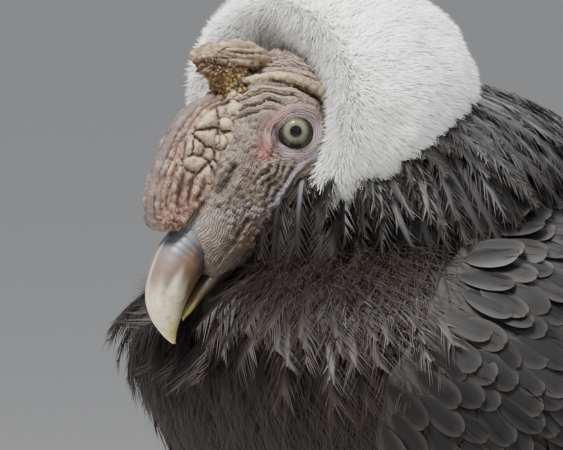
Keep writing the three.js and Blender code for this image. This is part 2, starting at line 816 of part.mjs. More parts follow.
function wingFront(side, margin = 0) {
  const stations = margin ? [...WING_FRONT, [140, 22]] : WING_FRONT;
  const rings = stations.map(([s, thick]) => {
    const from = along(WING, 4, s) - 2 * margin;
    const to = along(WING, 5, s) + 2 * margin;
    const outer = Array.from({ length: 9 }, (_, j) => {
      const round = Math.sqrt(Math.max(0, 1 - ((2 * j) / 8 - 1) ** 6));
      const scapular = 7.5 * clamp01((s - 50) / 30) * clamp01(1.6 - j / 2);
      const lift = thick * (0.1 + 0.9 * round) + scapular + 2 * margin;
      return onWing(s, THREE.MathUtils.lerp(from, to, j / 8), lift, side);
    });
    const inner = Array.from({ length: 9 }, (_, j) =>
      onWing(s, THREE.MathUtils.lerp(to, from, j / 8), -2 - margin, side),
    );
    return [...outer, ...inner];
  });
  return crescent(rings);
}

// How much higher each feather lies than the next one down, so that their plates stay apart.
function stepAt(s, count) {
  const round = (along(WING, 5, s) - along(WING, 4, s)) * perDegree(s, 70);
  const apart = Math.max(0, (round - FEATHER_WIDTH) / (count - 1));
  return Math.max(0, 2 + 0.6 * Math.min(1, apart / 12) - TILT * apart);
}

// One tier of flight feathers or coverts. Each lies over the edge of the next one down.
function wingTier({ bends, tips, lift }, side) {
  const last = tips.length - 1;
  return tips.map((tip, k) => {
    const outline = [...bends, [tip - 15, 0.86], [tip, 0.34]];
    return vane(outline, FEATHER_WIDTH, (s, across, off) => {
      const half = FEATHER_WIDTH / 2 / perDegree(s, 70);
      const [top, low] = [along(WING, 4, s) + half, along(WING, 5, s) - half];
      const centre = top < low ? THREE.MathUtils.lerp(top, low, k / last) : (top + low) / 2;
      const rise = lift + (last - k) * stepAt(s, tips.length) + TILT * across;
      return onWing(s, centre + across / perDegree(s, centre), rise + off, side);
    });
  });
}

// Scapulars lie along the back over the inner edge of the wing, the longest lowest.
function scapulars(side) {
  const { bends, tips, lift } = SCAPULARS;
  return tips.map((tip, k) => {
    const outline = [...bends, [tip - 15, 0.86], [tip, 0.34]];
    return vane(outline, FEATHER_WIDTH, (s, across, off) => {
      const edge = along(WING, 4, s);
      const centre = edge + (FEATHER_WIDTH / 2 - 2 + 5 * k) / perDegree(s, edge + 12);
      const rise = lift + 6 * stepAt(s, 7) + 2.3 * k + TILT * across;
      return onWing(s, centre + across / perDegree(s, centre), rise + off, side);
    });
  });
}

const wing = (side, torsoRoom) =>
  largest(
    joined([
      wingFront(side),
      ...[PRIMARIES, SECONDARIES, GREATER, MEDIAN].flatMap((tier) => wingTier(tier, side)),
      ...scapulars(side),
    ]).subtract(torsoRoom),
  );

// Tail. Six pairs of long feathers, stacked from the middle outwards, under a row of coverts.
const TAIL_ROOT = { y: 92, z: 372 };
const TAIL_PAIRS = 6;
const TAIL_FEATHER = { width: 40, rootApart: 4.2, tipApart: 7.2, layer: 1.85 };
const TAIL_COVERTS = { count: 5, width: 24, apart: 13, layer: 1.9 };

// A point of the tail by its distance along it, across it and up from it.
function onTail(length, across, up) {
  const [c, s] = [Math.cos(TAIL_PITCH), Math.sin(TAIL_PITCH)];
  const sag = (across * across) / 420;
  const lift = up - sag;
  return new THREE.Vector3(across, TAIL_ROOT.y + length * c + lift * s, TAIL_ROOT.z - length * s + lift * c);
}

function tailCore() {
  const rings = [0, 45, 90, 125].map((length) => {
    const half = THREE.MathUtils.lerp(36, 44, length / 125);
    return Array.from({ length: 12 }, (_, j) => {
      const turn = (2 * Math.PI * (j + 0.5)) / 12;
      const thick = Math.sign(Math.cos(turn)) * Math.abs(Math.cos(turn)) ** 0.4;
      return onTail(length, half * Math.sin(turn), (Math.cos(turn) > 0 ? 16 : 11) * thick);
    });
  });
  return loft(rings);
}

function tail(torsoRoom) {
  const { width, rootApart, tipApart, layer } = TAIL_FEATHER;
  const feathers = [];
  for (let k = 0; k < TAIL_PAIRS; k++) {
    for (const side of [1, -1]) {
      const level = k < 3 ? 2 * k + (side > 0 ? 0 : 1) : k + 3;
      const length = TAIL_LENGTH - 2.2 * k * k;
      const outline = [[112, 0.8], [240, 1], [length - 24, 0.88], [length, 0.36]];
      feathers.push(
        vane(outline, width, (along, across, off) => {
          const apart = THREE.MathUtils.lerp(rootApart, tipApart, along / TAIL_LENGTH);
          return onTail(along, side * (k + 0.5) * apart + across, 7 - layer * level + off);
        }),
      );
    }
  }
  for (let k = 0; k < TAIL_COVERTS.count; k++) {
    const middle = k - (TAIL_COVERTS.count - 1) / 2;
    const up = 12.4 - TAIL_COVERTS.layer * Math.abs(middle);
    const reach = 160 - 14 * Math.abs(middle);
    const outline = [[112, 0.8], [reach + 34, 0.9], [reach + 52, 0.4]];
    feathers.push(
      vane(outline, TAIL_COVERTS.width, (along, across, off) =>
        onTail(along, middle * TAIL_COVERTS.apart + across, up + off),
      ),
    );
  }
  return largest(joined([tailCore(), ...feathers]).subtract(torsoRoom));
}

// Legs. The feathered shank: back, height, half width, half depth.
const SHANK = [
  [0, -60, 430, 26, 30],
  [0.12, -76, 400, 40, 48],
  [0.32, -82, 345, 43, 55],
  [0.6, -58, 262, 33, 40],
  [0.85, -26, 180, 20, 23],
  [1, -8, 142, 13, 14],
];
const FOOT_TURN = THREE.MathUtils.degToRad(8);

function shank(margin = 0) {
  const rings = Array.from({ length: 8 }, (_, i) => {
    const t = i / 7;
    return Array.from({ length: 14 }, (_, j) => {
      const turn = (2 * Math.PI * j) / 14;
      const wide = along(SHANK, 3, t) + margin;
      const deep = along(SHANK, 4, t) + margin;
      return new THREE.Vector3(
        STANCE + wide * Math.sin(turn),
        along(SHANK, 1, t) - deep * Math.cos(turn),
        along(SHANK, 2, t) - 0.35 * deep * Math.cos(turn),
      );
    });
  });
  return loft(rings);
}

// The scaly lower leg, with raised scutes down its front.
function tarsus(margin = 0) {
  const from = new THREE.Vector3(STANCE, HOCK.y, HOCK.z + 14);
  const to = new THREE.Vector3(STANCE, ANKLE.y, ANKLE.z);
  const rings = [];
  const scutes = 6;
  for (let i = 0; i <= 2 * scutes; i++) {
    const t = i / (2 * scutes);
    const waist = 9.2 + 3.2 * (2 * t - 1) ** 2 + (i % 2 ? 0.7 : 0) + margin;
    const centre = from.clone().lerp(to, t);
    rings.push(
      Array.from({ length: 8 }, (_, j) => {
        const turn = (2 * Math.PI * j) / 8;
        return centre.clone().add(new THREE.Vector3(waist * 0.86 * Math.sin(turn), -waist * Math.cos(turn), 0));
      }),
    );
  }
  return loft(rings);
}

// Each toe: turn from straight ahead in degrees, length, thickness at its root, claw length.
const TOES = {
  inner: { turn: -30, length: 72, root: 10.5, claw: 24 },
  middle: { turn: 0, length: 112, root: 12, claw: 26 },
  outer: { turn: 28, length: 76, root: 10.5, claw: 22 },
  hind: { turn: 172, length: 34, root: 9, claw: 20 },
};
const SOLE = 0.9; // share of a toe's radius between its middle and its flat sole

function toeWay(turn, side) {
  const angle = THREE.MathUtils.degToRad(turn) + FOOT_TURN;
  return new THREE.Vector3(side * Math.sin(angle), -Math.cos(angle), 0);
}

const toeRadius = (toe, t) => toe.root * (1 - 0.36 * t);

// A toe along the ground, its sole flat at height zero and its top raised in scutes.
function toeSolid(toe, side) {
  const way = toeWay(toe.turn, side);
  const across = new THREE.Vector3(0, 0, 1).cross(way);
  const start = new THREE.Vector3(side * STANCE, ANKLE.y, 0);
  const scutes = Math.round(toe.length / 19);
  const rings = [];
  for (let i = 0; i <= 2 * scutes; i++) {
    const t = i / (2 * scutes);
    const radius = toeRadius(toe, t) * (i === 2 * scutes ? 0.72 : 1) + (i % 2 ? 0.5 : 0);
    const centre = start.clone().addScaledVector(way, toe.length * t);
    rings.push(
      Array.from({ length: 8 }, (_, j) => {
        const turn = (2 * Math.PI * (j + 0.5)) / 8;
        const up = Math.max(0, SOLE * radius + radius * Math.cos(turn));
        return centre.clone().addScaledVector(across, radius * Math.sin(turn)).setZ(up);
      }),
    );
  }
  return loft(rings);
}

// A blunt claw that curves down to the ground from the end of its toe.
function clawSolid(toe, side) {
  const way = toeWay(toe.turn, side);
  const across = new THREE.Vector3(0, 0, 1).cross(way);
  const tip = new THREE.Vector3(side * STANCE, ANKLE.y, 0).addScaledVector(way, toe.length);
  const radius = toeRadius(toe, 1) * 0.66;
  const rings = Array.from({ length: 4 }, (_, i) => {
    const t = i / 4;
    const drop = 9.5 * Math.cos((Math.PI / 2) * t * 0.92);
    const centre = tip
      .clone()
      .addScaledVector(way, toe.claw * (t - 0.12))
      .setZ(drop + 1.2);
    const r = radius * (1 - 0.72 * t);
    return Array.from({ length: 6 }, (_, j) => {
      const turn = (2 * Math.PI * j) / 6;
      const p = centre.clone().addScaledVector(across, r * 0.8 * Math.sin(turn));
      return p.setZ(Math.max(0.4, p.z + r * Math.cos(turn)));
    });
  });
  const end = tip.clone().addScaledVector(way, toe.claw * 0.92).setZ(0.6);
  return loft(rings, null, end);
}

// A leg is made for the left side and mirrored for the right.
const mirrored = (solid, side) => (side > 0 ? solid : solid.mirror([1, 0, 0]));

function makeLeg(side) {
  const word = side > 0 ? "left" : "right";
  const toes = Object.entries(TOES);
  const foot = joined([
    ...toes.map(([, toe]) => toeSolid(toe, 1)),
    loft(
      [0, 7, 15, 22].map((z, i) =>
        Array.from({ length: 12 }, (_, j) => {
          const turn = (2 * Math.PI * j) / 12;
          const r = [14.5, 15.5, 13.5, 11][i];
          return new THREE.Vector3(STANCE + r * Math.sin(turn), ANKLE.y - r * Math.cos(turn), z);
        }),
      ),
    ),
  ]);
  const thigh = shank().subtract(torso(GAP));
  const lower = tarsus().subtract(shank(GAP)).subtract(slabBetween(
    new THREE.Vector3(0, -300, -50),
    new THREE.Vector3(200, 300, 22 + GAP),
  ));
  const pieces = {
    [`thigh_${word}`]: [largest(thigh), BLACK_FEATHER],
    [`tarsus_${word}`]: [largest(lower), LEG_SKIN],
    [`foot_${word}`]: [largest(foot), LEG_SKIN],
  };
  for (const [name, toe] of toes) {
    const claw = clawSolid(toe, 1).subtract(grownFoot());
    pieces[`claw_${name}_${word}`] = [largest(claw), CLAW_HORN];
  }
  return Object.entries(pieces).map(([name, [solid, material]]) => [name, mirrored(solid, side), material]);
}

// The foot's toes with a margin, to seat the claws.
function grownFoot() {
  return joined(
    Object.values(TOES).map((toe) =>
      toeSolid({ ...toe, root: toe.root + 2 * GAP, length: toe.length + GAP }, 1),
    ),
  );
}

// Assembly.
function meshOf(name, solid, material) {
  const { vertProperties, triVerts, numProp } = solid.getMesh();
  const positions = new Float32Array((vertProperties.length / numProp) * 3);
  for (let i = 0; i * 3 < positions.length; i++) {
    positions.set(vertProperties.subarray(i * numProp, i * numProp + 3), i * 3);
  }
  const geometry = new THREE.BufferGeometry();
  geometry.setAttribute("position", new THREE.BufferAttribute(positions, 3));
  geometry.setIndex(new THREE.BufferAttribute(new Uint32Array(triVerts), 1));
  geometry.computeVertexNormals();
  const mesh = new THREE.Mesh(geometry, material);
  mesh.name = name;
  return mesh;
}

const head = new THREE.Group();
head.position.set(0, -EYE_FORWARD, EYE_LEVEL);
head.rotation.x = HEAD_PITCH;
head.add(
  meshOf("head", makeHead(), DARK_SKIN),
  meshOf("comb", makeComb(), COMB_FLESH),
  meshOf("comb_crust", makeCrust(), CRUST),
  meshOf("bill_upper", makeUpperBill(), BILL_HORN),
  meshOf("bill_lower", makeLowerBill(), BILL_HORN),
  meshOf("eye_left", eyeball(1), EYE),
  meshOf("eye_right", eyeball(-1), EYE),
);

const torsoRoom = torso(GAP);
const body = new THREE.Group();
body.add(
  meshOf("neck", largest(neck().subtract(headRoom()).subtract(torso(GAP))), DARK_SKIN),
  meshOf("torso", makeTorso(), BLACK_FEATHER),
  meshOf("wing_left", wing(1, torsoRoom), SILVER_FEATHER),
  meshOf("wing_right", wing(-1, torsoRoom), SILVER_FEATHER),
  meshOf("tail", tail(torsoRoom), BLACK_FEATHER),
);
for (const [name, solid] of Object.entries(makeRuff(torsoRoom))) body.add(meshOf(name, solid, DOWN));
for (const side of [1, -1]) {
  for (const [name, solid, material] of makeLeg(side)) body.add(meshOf(name, solid, material));
}

const condor = new THREE.Group();
condor.add(head, body);
condor.updateMatrixWorld(true);

// The origin is on the ground, under the middle of the whole bird.
const box = new THREE.Box3().setFromObject(condor, true);
condor.position.set(0, -(box.min.y + box.max.y) / 2, -box.min.z);

export default condor;
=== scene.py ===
"""A still, life-size Andean condor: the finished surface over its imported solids.

Shapes are worked out in millimetres in the bird's design frame: X to its left, Y towards its tail and
Z up, with the eyes 660 above the ground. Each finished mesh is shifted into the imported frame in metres.
Places on the head are given as forward, up and left of the middle between the eyes.
"""

import logging
import math
from collections.abc import Callable
from dataclasses import dataclass, field

import bpy
import numpy as np
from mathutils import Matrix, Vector
from mathutils.kdtree import KDTree


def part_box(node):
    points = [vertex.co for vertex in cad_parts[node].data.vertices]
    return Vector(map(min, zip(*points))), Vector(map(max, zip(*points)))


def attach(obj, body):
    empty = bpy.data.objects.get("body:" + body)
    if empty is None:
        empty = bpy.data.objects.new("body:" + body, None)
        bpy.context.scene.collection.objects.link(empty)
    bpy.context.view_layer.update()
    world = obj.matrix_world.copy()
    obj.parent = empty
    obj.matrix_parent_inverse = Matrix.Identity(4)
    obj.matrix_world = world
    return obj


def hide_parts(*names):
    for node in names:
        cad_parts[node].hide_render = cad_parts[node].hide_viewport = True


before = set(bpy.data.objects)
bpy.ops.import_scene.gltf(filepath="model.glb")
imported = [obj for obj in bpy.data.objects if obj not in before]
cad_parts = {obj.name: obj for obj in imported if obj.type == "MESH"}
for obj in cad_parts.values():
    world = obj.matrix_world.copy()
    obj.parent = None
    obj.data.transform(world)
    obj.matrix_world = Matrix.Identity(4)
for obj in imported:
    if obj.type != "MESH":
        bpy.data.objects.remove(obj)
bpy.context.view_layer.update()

LOG = logging.getLogger("condor")
MM = 0.001
BODY = "root"
BAKE_MAP = "OFBake"
MAP_MARGIN = 0.01
PATCH = 0.003  # size of one feather's or tuft's patch on the bake map
SIDES = ((1, "left"), (-1, "right"))

Array = np.ndarray
Rng = np.random.Generator
Colour = tuple[float, float, float]
Material = bpy.types.Material
Piece = bpy.types.Object


# Numbers and places


def srgb(red: int, green: int, blue: int) -> Colour:
    """A linear colour from eight-bit screen values."""
    values = [c / 255 for c in (red, green, blue)]
    return tuple(c / 12.92 if c <= 0.04045 else ((c + 0.055) / 1.055) ** 2.4 for c in values)


def ease(t: Array) -> Array:
    """A smooth step from 0 to 1."""
    t = np.clip(t, 0.0, 1.0)
    return t * t * (3 - 2 * t)


def unit(v: Array) -> Array:
    """Vectors scaled to length one."""
    return v / np.maximum(np.linalg.norm(v, axis=-1, keepdims=True), 1e-9)


def lerp(a: Array, b: Array, t: Array) -> Array:
    """A straight mix of a and b."""
    return a + (b - a) * t


def over(paint: Array | Colour, colour: Array | Colour, share: Array) -> Array:
    """Colours with another laid over them by a share at each point."""
    return lerp(np.asarray(paint), np.asarray(colour), share[..., None])


def circle(count: int) -> Array:
    """Angles spaced evenly round a whole turn."""
    return np.linspace(0, 2 * math.pi, count, endpoint=False)


def smooth_path(points: list, count: int) -> Array:
    """Points spaced along a smooth curve.

    Args:
        points: the places that the curve passes through.
        count: how many points to return.

    Returns:
        The sampled curve, one row a point.
    """
    p = np.array(points, float)
    p = np.vstack([2 * p[0] - p[1], p, 2 * p[-1] - p[-2]])
    at = np.linspace(0, len(points) - 1, count)
    i = np.minimum(at.astype(int), len(points) - 2)
    t = (at - i)[:, None]
    a, b, c, d = p[i], p[i + 1], p[i + 2], p[i + 3]
    return 0.5 * (2 * b + (c - a) * t + (2 * a - 5 * b + 4 * c - d) * t**2 + (3 * b - a - 3 * c + d) * t**3)


class Stations:
    """A smooth curve through the rows of a table, read by its first column."""

    def __init__(self, *rows: tuple) -> None:
        """Works out the slopes at each row."""
        self.rows = np.array(rows, float)
        self.keys = self.rows[:, 0]
        chord = np.diff(self.rows, axis=0) / np.diff(self.keys)[:, None]
        slopes = np.zeros_like(self.rows)
        before, after = chord[:-1], chord[1:]
        total = before + after
        rising = before * after > 0
        slopes[1:-1] = np.where(rising, 2 * before * after / np.where(rising, total, 1), 0)
        self.first, self.second = slopes[:-1].copy(), slopes[1:].copy()
        self.first[0], self.second[-1] = chord[0], chord[-1]

    def at(self, key: Array) -> Array:
        """All columns at a key, as the last axis.

        Args:
            key: where to read the columns.

        Returns:
            The values, with one column for each of the table's as the last axis.
        """
        key = np.clip(np.asarray(key, float), self.keys[0], self.keys[-1])
        i = np.clip(np.searchsorted(self.keys, key, "right") - 1, 0, len(self.keys) - 2)
        span = (self.keys[i + 1] - self.keys[i])[..., None]
        t = (key - self.keys[i])[..., None] / span
        t2, t3 = t * t, t * t * t
        return (
            (2 * t3 - 3 * t2 + 1) * self.rows[i]
            + (t3 - 2 * t2 + t) * span * self.first[i]
            + (3 * t2 - 2 * t3) * self.rows[i + 1]
            + (t3 - t2) * span * self.second[i]
        )

    def column(self, key: Array, number: int) -> Array:
        """One column at a key."""
        return self.at(key)[..., number]


def lattice(cells: Array, seed: int) -> Array:
    """Repeatable numbers from 0 to 1 for whole-numbered cells.

    Args:
        cells: three whole numbers a row.
        seed: picks another pattern.

    Returns:
        One number a row.
    """
    mask = 0xFFFFFFFF
    c = cells.astype(np.int64)
    h = (c[..., 0] * 73856093) ^ (c[..., 1] * 19349663) ^ (c[..., 2] * 83492791) ^ (seed * 26544357)
    h = ((h ^ (h >> 15)) * 2246822519) & mask
    h = ((h ^ (h >> 13)) * 3266489917) & mask
    return (h ^ (h >> 16)) / mask


def waves(points: Array, size: float, seed: int) -> Array:
    """Smooth noise from -1 to 1 with bumps of a given size.

    Args:
        points: where to read the noise.
        size: the bumps' size, in the points' unit.
        seed: picks another pattern.

    Returns:
        One number a point.
    """
    p = points / size
    low = np.floor(p)
    t = ease(p - low)
    total = np.zeros(len(points))
    for corner in np.ndindex(2, 2, 2):
        share = np.prod(np.where(corner, t, 1 - t), axis=1)
        total += share * lattice(low + np.array(corner), seed)
    return 2 * total - 1


def pebbles(points: Array, size: float, seed: int) -> Array:
    """Cell noise: 0 in the cracks between pebbles of a given size and near 1 on their tops.

    Args:
        points: where to read the noise.
        size: the pebbles' size, in the points' unit.
        seed: picks another pattern.

    Returns:
        One number a point.
    """
    p = points / size
    low = np.floor(p)
    near = np.full((2, len(points)), 9.0)
    for offset in np.ndindex(3, 3, 3):
        cell = low + np.array(offset) - 1
        jitter = np.stack([lattice(cell, seed + k) for k in range(3)], axis=1)
        gap = np.linalg.norm(cell + jitter - p, axis=1)
        nearer = gap < near[0]
        near[1] = np.where(nearer, near[0], np.minimum(near[1], gap))
        near[0] = np.where(nearer, gap, near[0])
    return np.clip((near[1] - near[0]) * 1.6, 0, 1)


def from_path(points: Array, path: Array) -> Array:
    """Distance of each point from a line through several places.

    Args:
        points: the points to measure from.
        path: the places that the line joins.

    Returns:
        One distance a point.
    """
    best = np.full(len(points), 1e9)
    for a, b in zip(path[:-1], path[1:]):
        along = b - a
        t = np.clip(((points - a) @ along) / max(along @ along, 1e-9), 0, 1)
        best = np.minimum(best, np.linalg.norm(points - a - t[:, None] * along, axis=1))
    return best


# Shells


@dataclass
class Shell:
    """Points in millimetres with their faces and the values that lie on each point."""

    points: Array
    quads: Array = field(default_factory=lambda: np.zeros((0, 4), np.int64))
    tris: Array = field(default_factory=lambda: np.zeros((0, 3), np.int64))
    layers: dict[str, Array] = field(default_factory=dict)

    def normals(self) -> Array:
        """An outward direction at each point.

        Returns:
            One direction a point.
        """
        total = np.zeros_like(self.points)
        for faces in (self.quads, self.tris):
            if len(faces):
                corners = self.points[faces]
                facing = np.cross(corners[:, 2] - corners[:, 0], corners[:, -1] - corners[:, 1])
                for k in range(faces.shape[1]):
                    np.add.at(total, faces[:, k], facing)
        return unit(total)


def joined(shells: list[Shell]) -> Shell:
    """Several shells as one, with the layers that they all have.

    Args:
        shells: the shells to join.

    Returns:
        The joined shell.
    """
    starts = np.cumsum([0] + [len(s.points) for s in shells[:-1]])
    shared = set.intersection(*(set(s.layers) for s in shells))
    return Shell(
        np.concatenate([s.points for s in shells]),
        np.concatenate([s.quads + k for s, k in zip(shells, starts)]),
        np.concatenate([s.tris + k for s, k in zip(shells, starts)]),
        {name: np.concatenate([s.layers[name] for s in shells]) for name in sorted(shared)},
    )


def sheet(grid: Array, wrap: bool = False) -> Shell:
    """Quads over a grid of points, rows by columns.

    Args:
        grid: rows, columns and three coordinates.
        wrap: whether the last column joins the first.

    Returns:
        An open shell.
    """
    rows, columns = grid.shape[:2]
    ids = np.arange(rows * columns).reshape(rows, columns)
    right = np.roll(ids, -1, axis=1) if wrap else ids[:, 1:]
    left = ids if wrap else ids[:, :-1]
    quads = np.stack([left[:-1], left[1:], right[1:], right[:-1]], axis=-1).reshape(-1, 4)
    return Shell(grid.reshape(-1, 3).astype(float), quads)


def loft(grid: Array, start: Array | None = None, end: Array | None = None) -> Shell:
    """A closed skin over rings, drawn to a point at each end.

    Args:
        grid: rings, points on a ring and three coordinates.
        start: the point before the first ring, or its middle where there is none.
        end: the point after the last ring, or its middle where there is none.

    Returns:
        A closed shell.
    """
    rows, columns = grid.shape[:2]
    body = sheet(grid, wrap=True)
    poles = np.stack([
        grid[0].mean(0) if start is None else np.asarray(start, float),
        grid[-1].mean(0) if end is None else np.asarray(end, float),
    ])
    here = np.arange(columns)
    there = np.roll(here, -1)
    last, first_pole = (rows - 1) * columns, rows * columns
    caps = np.concatenate([
        np.stack([here, there, np.full(columns, first_pole)], axis=1),
        np.stack([last + there, last + here, np.full(columns, first_pole + 1)], axis=1),
    ])
    shell = Shell(np.concatenate([body.points, poles]), body.quads, caps)
    return outward(shell)


def outward(shell: Shell) -> Shell:
    """The same closed shell with its faces turned to face out.

    Args:
        shell: a closed shell, changed in place.

    Returns:
        The same shell.
    """
    volume = 0.0
    for faces in (shell.quads, shell.tris):
        if len(faces):
            p = shell.points[faces]
            for k in range(1, faces.shape[1] - 1):
                volume += np.einsum("ij,ij->", p[:, 0], np.cross(p[:, k], p[:, k + 1]))
    if volume < 0:
        shell.quads, shell.tris = shell.quads[:, ::-1], shell.tris[:, ::-1]
    return shell


def rope(path: Array, radii: Array, sides: int) -> Shell:
    """A round rod of changing radius along a path.

    Args:
        path: places along the rod's middle.
        radii: the radius at each place.
        sides: how many points on a ring.

    Returns:
        A closed shell.
    """
    ahead = unit(np.gradient(path, axis=0))
    guide = np.where(np.abs(ahead[:, 2:3]) > 0.9, [[1.0, 0, 0]], [[0, 0, 1.0]])
    aside = unit(np.cross(guide, ahead))
    above = np.cross(ahead, aside)
    turn = circle(sides)[None, :, None]
    reach = radii[:, None, None]
    return loft(path[:, None] + reach * (np.cos(turn) * aside[:, None] + np.sin(turn) * above[:, None]))


def ball(centre: tuple, radii: tuple) -> Shell:
    """An ellipsoid.

    Args:
        centre: its middle.
        radii: half its size along each axis.

    Returns:
        A closed shell.
    """
    tilt = np.linspace(0.06, math.pi - 0.06, 20)[:, None]
    turn = circle(28)[None, :]
    grid = np.stack([
        np.sin(tilt) * np.cos(turn), np.sin(tilt) * np.sin(turn), np.cos(tilt) * np.ones_like(turn)
    ], axis=-1)
    return loft(np.asarray(centre, float) + grid * np.asarray(radii, float))


def relaxed(shell: Shell, rounds: int, share: float) -> Shell:
    """The shell with each point drawn towards its neighbours.

    Args:
        shell: the shell to smooth.
        rounds: how many times to draw the points.
        share: how far they move each time, as a share of the way.

    Returns:
        The smoothed shell.
    """
    edges = np.concatenate([shell.quads[:, [0, 1]], shell.quads[:, [1, 2]], shell.tris[:, [0, 1]]])
    points = shell.points.copy()
    count = np.zeros(len(points))
    np.add.at(count, edges.ravel(), 1)
    for _ in range(rounds):
        total = np.zeros_like(points)
        np.add.at(total, edges[:, 0], points[edges[:, 1]])
        np.add.at(total, edges[:, 1], points[edges[:, 0]])
        middle = total / np.maximum(count, 1)[:, None]
        points = np.where(count[:, None] > 0, lerp(points, middle, share), points)
    return Shell(points, shell.quads, shell.tris, shell.layers)


def blurred(shell: Shell, values: Array, rounds: int) -> Array:
    """Values on the points, spread over their neighbours."""
    spread = Shell(np.repeat(values[:, None], 3, axis=1), shell.quads, shell.tris)
    return relaxed(spread, rounds, 0.5).points[:, 0]


def hollows(shell: Shell) -> Array:
    """How deep each point lies below its neighbours, in millimetres; below nought on ridges."""
    smooth = relaxed(shell, 6, 0.5).points
    return np.einsum("ij,ij->i", smooth - shell.points, shell.normals())


# The bird's plan


@dataclass(frozen=True)
class Plan:
    """Where the main parts of the bird lie, in the design frame."""

    eye_forward: float = 200
    eye_level: float = 660
    head_pitch: float = math.radians(36)
    eyeball_radius: float = 10.5
    eye_spread: float = 25.5
    spine_front: tuple[float, float] = (-190, 610)
    spine_pitch: float = math.radians(35.7)
    stance: float = 62
    ankle: tuple[float, float] = (-42, 24)
    hock: tuple[float, float] = (-6, 138)

    def eye(self, side: int) -> Array:
        """The middle of an eyeball on the head."""
        return np.array([0.0, 0.0, side * self.eye_spread])

    def shift(self) -> Array:
        """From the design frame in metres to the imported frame, found from the left eye.

        Returns:
            The offset in metres.
        """
        low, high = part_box("eye_left")
        middle = np.array((low + high) / 2)
        return middle - np.array([self.eye_spread, -self.eye_forward, self.eye_level]) * MM

    def head(self, places: Array) -> Array:
        """Places forward, up and left on the head, in the design frame.

        Args:
            places: millimetres from the middle between the eyes.

        Returns:
            Points in the design frame.
        """
        p = np.asarray(places, float)
        c, s = math.cos(self.head_pitch), math.sin(self.head_pitch)
        u, v, w = p[..., 0], p[..., 1], p[..., 2]
        return np.stack([w, -self.eye_forward - u * c - v * s, self.eye_level - u * s + v * c], axis=-1)

    def on_head(self, points: Array) -> Array:
        """Design points as places forward, up and left on the head.

        Args:
            points: points in the design frame.

        Returns:
            One place a point.
        """
        c, s = math.cos(self.head_pitch), math.sin(self.head_pitch)
        y, z = points[:, 1] + self.eye_forward, points[:, 2] - self.eye_level
        return np.stack([-y * c - z * s, -y * s + z * c, points[:, 0]], axis=1)

    def spine(self, s: Array, up: Array, aside: Array) -> Array:
        """A point by its distance along the body, up from its axis and to its left.

        Args:
            s: distance along the body's axis.
            up: distance above it.
            aside: distance to its left.

        Returns:
            Points in the design frame.
        """
        c, k = math.cos(self.spine_pitch), math.sin(self.spine_pitch)
        y, z = self.spine_front
        return np.stack(np.broadcast_arrays(aside, y + s * c + up * k, z - s * k + up * c), axis=-1)


PLAN = Plan()
TAILWARD = np.array([0, math.cos(PLAN.spine_pitch), -math.sin(PLAN.spine_pitch)])


def squared(turn: Array, power: Array | float) -> Array:
    """How far a rounded square reaches at each angle round it."""
    return (np.abs(np.cos(turn)) ** power + np.abs(np.sin(turn)) ** power) ** (-1 / power)


def hoop(row: Array, turn: Array, margin: float = 0.0) -> tuple[Array, Array]:
    """Heights and widths round a superellipse ring: row holds top, bottom, half width and power.

    Args:
        row: the four measures of each ring.
        turn: angles round a ring.
        margin: how far the rings stand off.

    Returns:
        The heights, and the widths.
    """
    top, bottom, half, power = (row[..., k, None] for k in range(4))
    swell = squared(turn, power)
    middle, reach = (top + bottom) / 2, (top - bottom) / 2
    return middle + (reach + margin) * np.cos(turn) * swell, (half + margin) * np.sin(turn) * swell


def horn_rings(table: Stations, steps: int, sides: int, power: float) -> tuple[Array, Array]:
    """Rings between two lines on the head.

    Args:
        table: forward and up of the upper line, the same of the lower line, and the half width.
        steps: how many rings.
        sides: how many points on a ring.
        power: how square the rings are.

    Returns:
        The rings, and the share of the height of each point round them.
    """
    row = table.at(np.linspace(0, 1, steps))
    turn = circle(sides)
    swell = squared(turn, power)
    high = (1 + np.cos(turn) * swell) / 2
    top, low = row[:, None, 1:3], row[:, None, 3:5]
    flat = low + (top - low) * high[None, :, None]
    aside = row[:, 5, None] * np.sin(turn) * swell
    return np.concatenate([flat, aside[..., None]], axis=-1), high


def sleeve(row: Array, turn: Array, lean: float, aside: float = 0.0, margin: float = 0.0) -> Array:
    """Leaning rings round a neck or a thigh.

    Args:
        row: a key, the middle's y and z, half the width and half the depth of each ring.
        turn: angles round a ring.
        lean: how far a ring's front rises, as a share of half its depth.
        aside: how far the middle lies to the left.
        margin: how far the rings stand off.

    Returns:
        The rings.
    """
    wide, deep = row[:, 3, None] + margin, row[:, 4, None] + margin
    y = row[:, 1, None] - deep * np.cos(turn)
    z = row[:, 2, None] + lean * deep * np.cos(turn)
    return np.stack([aside + wide * np.sin(turn), y, z], axis=-1)


# Making objects


